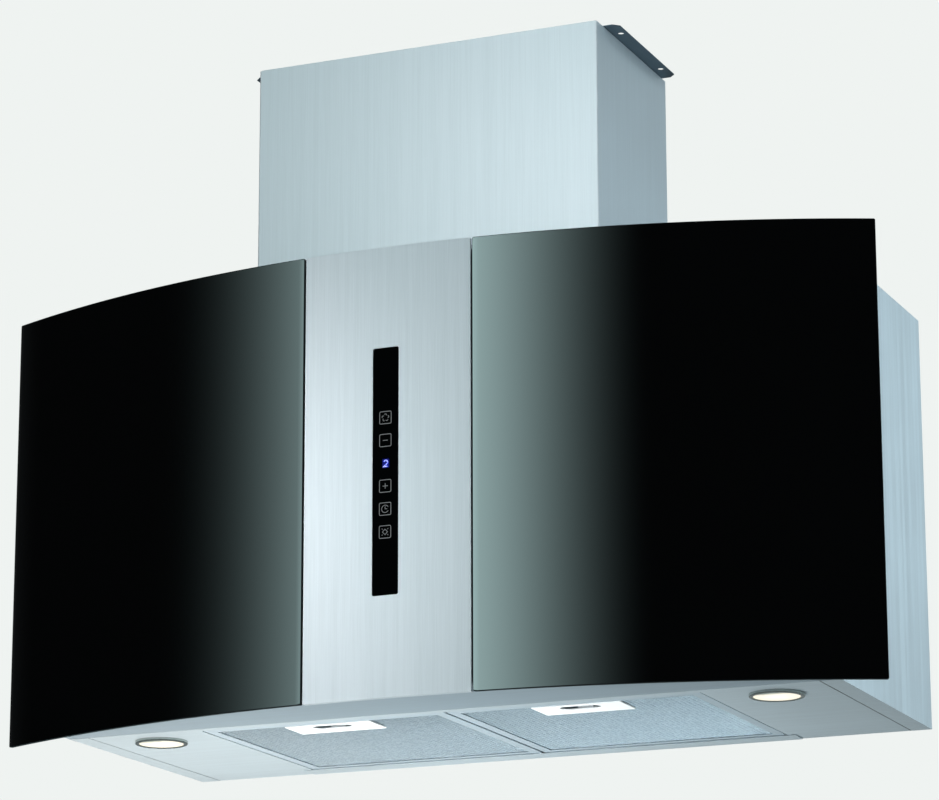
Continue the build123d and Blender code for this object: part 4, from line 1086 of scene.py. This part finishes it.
class HOOD_OT_latches(bpy.types.Operator):
    """Dress the two sliding latches in white enamel"""

    bl_idname = "hood.latches"
    bl_label = "Filter latches"

    def execute(self, context):
        for side in SIDES:
            dress(f"{side}_filter_latch", latch_enamel(), 0.3 * MM, 3)
        return {"FINISHED"}


# ---- lamps
RING_WALL = 1 * MM
RING_FLANGE = 2 * MM       # how far the ring stands out past its neck
RING_BEVEL = 0.4 * MM      # on the inner edge of its face
LENS_GAP = 0.1 * MM        # between ring and lens
LENS_SEAT = (2.8 * MM, 3.5 * MM)   # the seat behind the lens, above the ring's face
LENS_SAG = 0.25 * MM       # how far the lens bulges
LENS_EDGE = 0.5 * MM


def turn_profile(profile, centre, name, material, steps=72):
    """Turns an open or closed profile of radius and height round an upright axis."""
    bm = bmesh.new()
    rings = []
    for radius, height in profile:
        if radius < TINY:
            rings.append([bm.verts.new((centre[0], centre[1], height))])
            continue
        rings.append([bm.verts.new((centre[0] + radius * cos(tau * k / steps),
                                    centre[1] + radius * sin(tau * k / steps), height))
                      for k in range(steps)])
    for first, second in zip(rings, rings[1:]):
        for k in range(steps):
            j = (k + 1) % steps
            ring = [first[k % len(first)], first[j % len(first)],
                    second[j % len(second)], second[k % len(second)]]
            bm.faces.new(list(dict.fromkeys(ring)))
    bmesh.ops.remove_doubles(bm, verts=bm.verts, dist=MERGE)
    bmesh.ops.recalc_face_normals(bm, faces=bm.faces)
    return as_object(bm, name, material)


class HOOD_OT_lamps(bpy.types.Operator):
    """Turn the lamps' rings and frosted lenses"""

    bl_idname = "hood.lamps"
    bl_label = "Lamps"

    def execute(self, context):
        for side in SIDES:
            self.make_ring(side)
            self.make_lens(side)
            paint(motor_enamel(), f"{side}_lamp_can")
        return {"FINISHED"}

    def make_ring(self, side):
        """Turns the ring round a lens, from its rounded face to the neck in the body."""
        low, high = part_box(f"{side}_lamp_bezel")
        centre, outer = (low + high) / 2, (high.x - low.x) / 2
        lens_low, lens_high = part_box(f"{side}_lamp_lens")
        inner = (lens_high.x - lens_low.x) / 2 + LENS_GAP
        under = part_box("bottom_pan")[0].z
        edge = sizes().lamp_edge
        face, neck = low.z, outer - RING_FLANGE
        seat, seat_top = (face + rise for rise in LENS_SEAT)
        profile = [(outer - edge + edge * sin(a), face + edge - edge * cos(a))
                   for a in (pi / 2 * k / 6 for k in range(7))]
        profile += [(outer, under), (neck, under), (neck, high.z), (neck - RING_WALL, high.z),
                    (neck - RING_WALL, seat_top), (inner - RING_WALL, seat_top),
                    (inner - RING_WALL, seat), (inner, seat),
                    (inner, face + RING_BEVEL), (inner + RING_BEVEL, face)]
        profile.append(profile[0])
        ring = turn_profile(profile, centre, f"{side}_lamp_ring", lamp_ring())
        stand_for(sharpen(ring, 50.0), f"{side}_lamp_bezel")

    def make_lens(self, side):
        """Turns a lens, and marks how near each point is to its rim and to the viewer's side, the
        latter for its painted reflection.
        """
        low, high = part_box(f"{side}_lamp_lens")
        centre, radius = (low + high) / 2, (high.x - low.x) / 2
        rim, steps = low.z + LENS_SAG, 12
        face = [(radius * k / steps, low.z + LENS_SAG * (k / steps)**2) for k in range(steps)]
        profile = face + [(radius - LENS_EDGE, rim), (radius, rim + LENS_EDGE),
                          (radius, high.z), (0.0, high.z)]
        lens = turn_profile(profile, centre, f"{side}_lamp_glass", lamp_glass())
        given = lens.data.attributes
        for name in ("lens_rim", "lens_front"):
            given.new(name, "FLOAT", "POINT")
        for number, corner in enumerate(lens.data.vertices):
            out = (corner.co.xy - centre.xy) / radius
            given["lens_rim"].data[number].value = out.length
            given["lens_front"].data[number].value = max(0.0, -out.y)
        stand_for(sharpen(lens, 50.0), f"{side}_lamp_lens")


# ---- screws
HEAD_RADIUS = 3.6 * MM
HEAD_HEIGHT = 2.2 * MM
SHANK_RADIUS = 2.0 * MM
CROSS = (1.1, 0.24)        # length and width of the recess's slots, as shares of the head's radius
SCREW_TURNS = {"Y": (-pi / 2, 0, 0), "Z": (0, 0, 0)}   # by the axis that the heads point along


def island_centres(node):
    """Middle of each loose part of a CAD node."""
    bm = bmesh.new()
    bm.from_mesh(frame["nodes"][node].data)
    bmesh.ops.remove_doubles(bm, verts=bm.verts, dist=MERGE)
    left, centres = set(bm.verts), []
    while left:
        reached, queue = set(), [left.pop()]
        while queue:
            corner = queue.pop()
            reached.add(corner)
            for edge in corner.link_edges:
                other = edge.other_vert(corner)
                if other in left:
                    left.remove(other)
                    queue.append(other)
        spans = [(min(v.co[k] for v in reached), max(v.co[k] for v in reached)) for k in range(3)]
        centres.append(Vector([(a + b) / 2 for a, b in spans]))
    bm.free()
    return centres


def make_screw(shank_length):
    """A pan-head screw with a cross recess, its head upwards from the origin."""
    profile = [(0.0, HEAD_HEIGHT)]
    profile += [(HEAD_RADIUS * sin(a), HEAD_HEIGHT * cos(a)) for a in (0.55, 0.9, 1.2, pi / 2)]
    profile += [(SHANK_RADIUS, 0.0), (SHANK_RADIUS, -shank_length + SHANK_RADIUS),
                (0.0, -shank_length)]
    screw = turn_profile(profile, (0, 0), "screw", plated_steel(), 20)
    cross = bmesh.new()
    for turn in (0, pi / 2):
        slot = bmesh.ops.create_cube(cross, size=1.0)
        shape = (Matrix.Translation((0, 0, HEAD_HEIGHT)) @ Matrix.Rotation(turn, 4, "Z")
                 @ Matrix.Diagonal((*(HEAD_RADIUS * share for share in CROSS), HEAD_HEIGHT, 1)))
        bmesh.ops.transform(cross, matrix=shape, verts=slot["verts"])
    cutter = as_object(cross, "cross", plated_steel())
    recess = screw.modifiers.new("recess", "BOOLEAN")
    recess.operation = "DIFFERENCE"
    recess.object = cutter
    recess.use_self = True
    flatten(screw)
    bpy.data.objects.remove(cutter)
    return sharpen(screw, 40.0)


def screw_tree():
    """Sets one screw at each point, turned to its face."""
    tree, given = geometry_tree("screws", {"Screw": "Object", "Turn": "Vector",
                                           "Material": "Material"})
    screw = tree.node("GeometryNodeObjectInfo", {}, {"Object": given["Screw"]}, output="Geometry")
    turn = tree.node("FunctionNodeEulerToRotation", {}, {"Euler": given["Turn"]})
    placed = tree.node("GeometryNodeInstanceOnPoints", {},
                       {"Points": given["Geometry"], "Instance": screw, "Rotation": turn})
    return close_tree(tree, placed, (given["Material"], True))


class HOOD_OT_screws(bpy.types.Operator):
    """Set the screws of the carrier, chimney and collar"""

    bl_idname = "hood.screws"
    bl_label = "Screws"

    def execute(self, context):
        group = screw_tree()
        for node, facing in (("carrier_screws", "Y"), ("chimney_screws", "Z"),
                             ("collar_screws", "Z")):
            low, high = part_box(node)
            axis = "XYZ".index(facing)
            seat = high[axis] - HEAD_HEIGHT
            screw = make_screw(seat - low[axis])
            bm = bmesh.new()
            for centre in island_centres(node):
                centre[axis] = seat
                bm.verts.new(centre)
            piece = as_object(bm, f"{node}_cross_headed", plated_steel())
            run_tree(piece, group, {"Screw": screw, "Turn": SCREW_TURNS[facing],
                                    "Material": plated_steel()})
            bpy.data.objects.remove(screw)
            stand_for(piece, node)
        return {"FINISHED"}


# ---- blower and electrics
class HOOD_OT_blower(bpy.types.Operator):
    """Finish the blower, its motor and the electrics"""

    bl_idname = "hood.blower"
    bl_label = "Blower and electrics"

    def execute(self, context):
        dress("blower_housing", dark_plastic(), 0.5 * MM)
        paint(dark_plastic(), "impeller", "inlet_rings", "gland_nut")
        dress("cable_gland", dark_plastic(), 0.4 * MM)
        paint(coated_steel(), "motor_bracket", "capacitor_strap")
        dress("motor", motor_enamel(), 0.5 * MM)
        paint(plated_steel(), "motor_shaft")
        dress("capacitor", drawn_can(), 0.4 * MM)
        for node in ("electronics_box", "electronics_lid", "lamp_driver"):
            dress(node, pale_plastic(), 0.5 * MM)
        return {"FINISHED"}


# ---- stage
CAMERA_PLACE = (1.41721, -3.52311, -0.93597)
CAMERA_AZIMUTH = 23.177    # degrees
CAMERA_PITCH = 14.878
CAMERA_ROLL = -0.114
CAMERA_LENS = 145.62       # mm, on a sensor of this width
CAMERA_SENSOR = 36.0
PAGE = (0.863, 0.896, 0.879)
FLOOR_DROP = 8.0           # floor below the hood's underside, under every camera
FLOOR_REACH = 40.0
FLOOR_GLOW = 0.73          # share of the page's colour that the camera sees without the lamps
BAND_RIGHT = (-8.0, 22.0)  # the soft light starts and is full, degrees to the left of ahead
BAND_LEFT = (60.0, 19.0)
BAND_LOW = (2.0, 9.0)      # and about degrees above level
BAND_HIGH = (34.0, 20.0)
BAND_RISE = 1.5            # how slowly it brightens at its right edge
BAND_FALL = 2.6            # and fades at its left
BAND_LEVEL = 1.76
BAND_TINT = (0.71, 1.0, 1.0)
BEHIND = (-0.25, 0.45)     # Y of the directions where the room behind starts and is full
BEHIND_LEVEL = 0.33
ROOM_TINT = (0.86, 0.96, 1.0)
DARK_LEVEL = 0.004         # what shines sees at least
AMBIENT_LEVEL = 0.23       # what dull surfaces get from all round
PANEL = ("bowed_centre_panel",)
CHIMNEY = ("outer_chimney_finished", "inner_chimney_finished")
MESHES = ("left_expanded_mesh", "right_expanded_mesh")
LATCHES = ("left_filter_latch_finished", "right_filter_latch_finished")
WHITE, WARM, COOL = (1.0, 1.0, 1.0), (1.0, 0.94, 0.87), (0.74, 0.92, 1.0)
# name, place and aim in metres, side in metres, watts, colour, whether it shows in what shines,
# and the only pieces it lights, where it doesn't light all
LAMPS = (
    ("key", (-2.2, -2.6, 2.2), (0, -0.2, 0), 1.8, 3, WHITE, False, ()),
    ("from_behind", (-1.6, 2.4, 1.4), (0, -0.1, 0.1), 1.6, 20, WHITE, True, ()),
    ("right_back", (1.4, 0.7, 0.1), (0.3, -0.15, 0.0), 0.8, 7.8, COOL, True, ()),
    ("top_right", (1.2, -0.9, 1.0), (0.1, -0.2, 0.2), 0.6, 5, COOL, False, ()),
    ("left_back", (-1.4, 0.7, 0.1), (-0.3, -0.15, 0.0), 0.8, 6, COOL, False, ()),
    ("below_left", (-0.36, -0.22, -0.85), (-0.32, -0.18, -0.3), 0.3, 5.3, WARM, False, ()),
    ("below_middle", (-0.08, -0.12, -0.85), (-0.03, -0.15, -0.3), 0.4, 3.3, COOL, False, ()),
    ("mesh_right", (0.38, -0.20, -0.80), (0.26, -0.16, -0.3), 0.3, 4.0, COOL, False, MESHES),
    ("latch_front", (0.40, -1.1, -0.66), (0, -0.3, -0.3), 0.3, 6, WHITE, False, LATCHES),
    ("panel_left", (-0.35, -1.0, -0.1), (-0.05, -0.41, -0.1), 0.3, 0.6, WHITE, False, PANEL),
    ("panel_near_left", (-0.28, -0.68, -0.08), (-0.09, -0.41, -0.08),
     0.2, 1.6, WHITE, False, PANEL),
    ("panel_low_left", (-0.26, -0.72, -0.36), (-0.06, -0.41, -0.22),
     0.18, 0.72, WHITE, False, PANEL),
    ("panel_edge", (1.2, -0.47, -0.1), (0.08, -0.41, -0.1), 0.3, 26, WHITE, False, PANEL),
    ("chimney_right", (0.16, -0.80, 0.20), (0.09, -0.32, 0.17), 0.28, 1.9, WHITE, False, CHIMNEY),
    ("chimney_front", (0.0, -1.4, 0.4), (0.0, -0.32, 0.25), 0.4, 4.3, WHITE, False, CHIMNEY))


def softbox(name, place, aim, side, power, colour):
    """A square soft lamp aimed at a point."""
    data = bpy.data.lights.new(name, "AREA")
    data.size = side
    data.energy = power
    data.color = colour
    lamp = bpy.data.objects.new(name, data)
    lamp.location = place
    lamp.rotation_euler = (Vector(aim) - Vector(place)).to_track_quat("-Z", "Y").to_euler()
    bpy.context.scene.collection.objects.link(lamp)
    return lamp


class HOOD_OT_stage(bpy.types.Operator):
    """Set the pale floor, the soft studio light and the camera"""

    bl_idname = "hood.stage"
    bl_label = "Stage"

    def execute(self, context):
        self.make_floor()
        self.make_world(context.scene)
        self.make_lamps()
        self.make_camera(context.scene)
        context.scene.view_settings.view_transform = "Standard"
        return {"FINISHED"}

    def make_floor(self):
        """A wide pale floor that gives the camera most of the page's colour by itself."""
        made = Finish("pale_floor")
        cloud = made.noise(2.0)
        seen = made.node("ShaderNodeLightPath", output="Is Camera Ray")
        made.set(Base_Color=made.blend(cloud, shaded(PAGE, 0.985), PAGE), Roughness=0.9,
                 Emission_Color=made.blend(seen, (0, 0, 0), shaded(PAGE, FLOOR_GLOW)),
                 Emission_Strength=1.0)
        bm = bmesh.new()
        bmesh.ops.create_grid(bm, x_segments=8, y_segments=8, size=FLOOR_REACH)
        bmesh.ops.translate(bm, verts=bm.verts, vec=(0, 0, CAD_BOX[0].z - FLOOR_DROP))
        as_object(bm, "floor", made.material)

    def make_world(self, scene):
        """Pale to the camera; what shines sees a dark room in front with one soft light in it."""
        world = bpy.data.worlds.new("studio")
        scene.world = world
        world.use_nodes = True
        tree = Tree(world.node_tree)
        background = world.node_tree.nodes["Background"]
        way = tree.node("ShaderNodeTexCoord", output="Generated")
        x, y, z = tree.axes(way)
        azimuth = x.maths("ARCTAN2", 0.0 - x, 0.0 - y)
        rise = tree.between(azimuth, *(radians(a) for a in BAND_RIGHT)).power(BAND_RISE)
        fall = tree.between(azimuth, *(radians(a) for a in BAND_LEFT)).power(BAND_FALL)
        low, high = (tree.between(z, *(sin(radians(a)) for a in edge))
                     for edge in (BAND_LOW, BAND_HIGH))
        band = rise * fall * low * high * BAND_LEVEL
        shine = band + tree.between(y, *BEHIND) * BEHIND_LEVEL + DARK_LEVEL
        tinted = tree.blend(band / shine, ROOM_TINT, BAND_TINT)
        seen = tree.node("ShaderNodeVectorMath", {"operation": "SCALE"},
                         {"Vector": tinted, "Scale": shine})
        camera, glossy = (tree.node("ShaderNodeLightPath", output=f"Is {ray} Ray")
                          for ray in ("Camera", "Glossy"))
        ambient = tree.blend(glossy, shaded(ROOM_TINT, AMBIENT_LEVEL), seen)
        tree.feed(background.inputs["Color"], tree.blend(camera, ambient, PAGE))

    def make_lamps(self):
        """Soft lamps, some of which light only a few pieces."""
        for name, place, aim, side, power, colour, shines, receivers in LAMPS:
            lamp = softbox(name, place, aim, side, power, colour)
            lamp.visible_glossy = shines
            if receivers:
                group = bpy.data.collections.new(f"{name}_receivers")
                for piece in receivers:
                    if piece in bpy.data.objects:
                        group.objects.link(bpy.data.objects[piece])
                lamp.light_linking.receiver_collection = group

    def make_camera(self, scene):
        """The camera that was fitted to the photo's corners."""
        azimuth, pitch, roll = (radians(a) for a in (CAMERA_AZIMUTH, CAMERA_PITCH, CAMERA_ROLL))
        ahead = Vector((-sin(azimuth) * cos(pitch), cos(azimuth) * cos(pitch), sin(pitch)))
        level = Vector((cos(azimuth), sin(azimuth), 0.0))
        up = level.cross(ahead)
        right = cos(roll) * level + sin(roll) * up
        up = cos(roll) * up - sin(roll) * level
        turn = Matrix((right, up, -ahead)).transposed().to_4x4()
        data = bpy.data.cameras.new("camera")
        data.sensor_fit, data.sensor_width = "HORIZONTAL", CAMERA_SENSOR
        data.lens = CAMERA_LENS
        data.clip_start, data.clip_end = 0.05, 60.0
        camera = bpy.data.objects.new("camera", data)
        camera.matrix_world = Matrix.Translation(CAMERA_PLACE) @ turn
        scene.collection.objects.link(camera)
        scene.camera = camera


# ---- panel and registration
OPERATORS = (HOOD_OT_glass, HOOD_OT_centre_panel, HOOD_OT_control, HOOD_OT_body, HOOD_OT_chimney,
             HOOD_OT_filters, HOOD_OT_latches, HOOD_OT_lamps, HOOD_OT_screws, HOOD_OT_blower,
             HOOD_OT_stage)


class HOOD_PT_panel(bpy.types.Panel):
    """The hood's sizes, colours and pieces"""

    bl_label = "Range hood"
    bl_idname = "HOOD_PT_panel"
    bl_space_type = "VIEW_3D"
    bl_region_type = "UI"
    bl_category = "Hood"

    def draw(self, context):
        for group in (context.scene.hood_sizes, context.scene.hood_colours):
            box = self.layout.box()
            for name in group.__annotations__:
                box.prop(group, name)
        for operator in OPERATORS:
            self.layout.operator(operator.bl_idname)


CLASSES = (HoodSizes, HoodColours, *OPERATORS, HOOD_PT_panel)


def register():
    """Makes the operators, the panel and the scene's sizes and colours known to Blender."""
    for made in CLASSES:
        bpy.utils.register_class(made)
    bpy.types.Scene.hood_sizes = bpy.props.PointerProperty(type=HoodSizes)
    bpy.types.Scene.hood_colours = bpy.props.PointerProperty(type=HoodColours)


def unregister():
    """Undoes what register did."""
    del bpy.types.Scene.hood_colours
    del bpy.types.Scene.hood_sizes
    for made in reversed(CLASSES):
        bpy.utils.unregister_class(made)


def main():
    """Builds every piece and the stage."""
    register()
    for operator in OPERATORS:
        getattr(bpy.ops.hood, operator.bl_idname.removeprefix("hood."))()


if __name__ == "__main__":
    main()
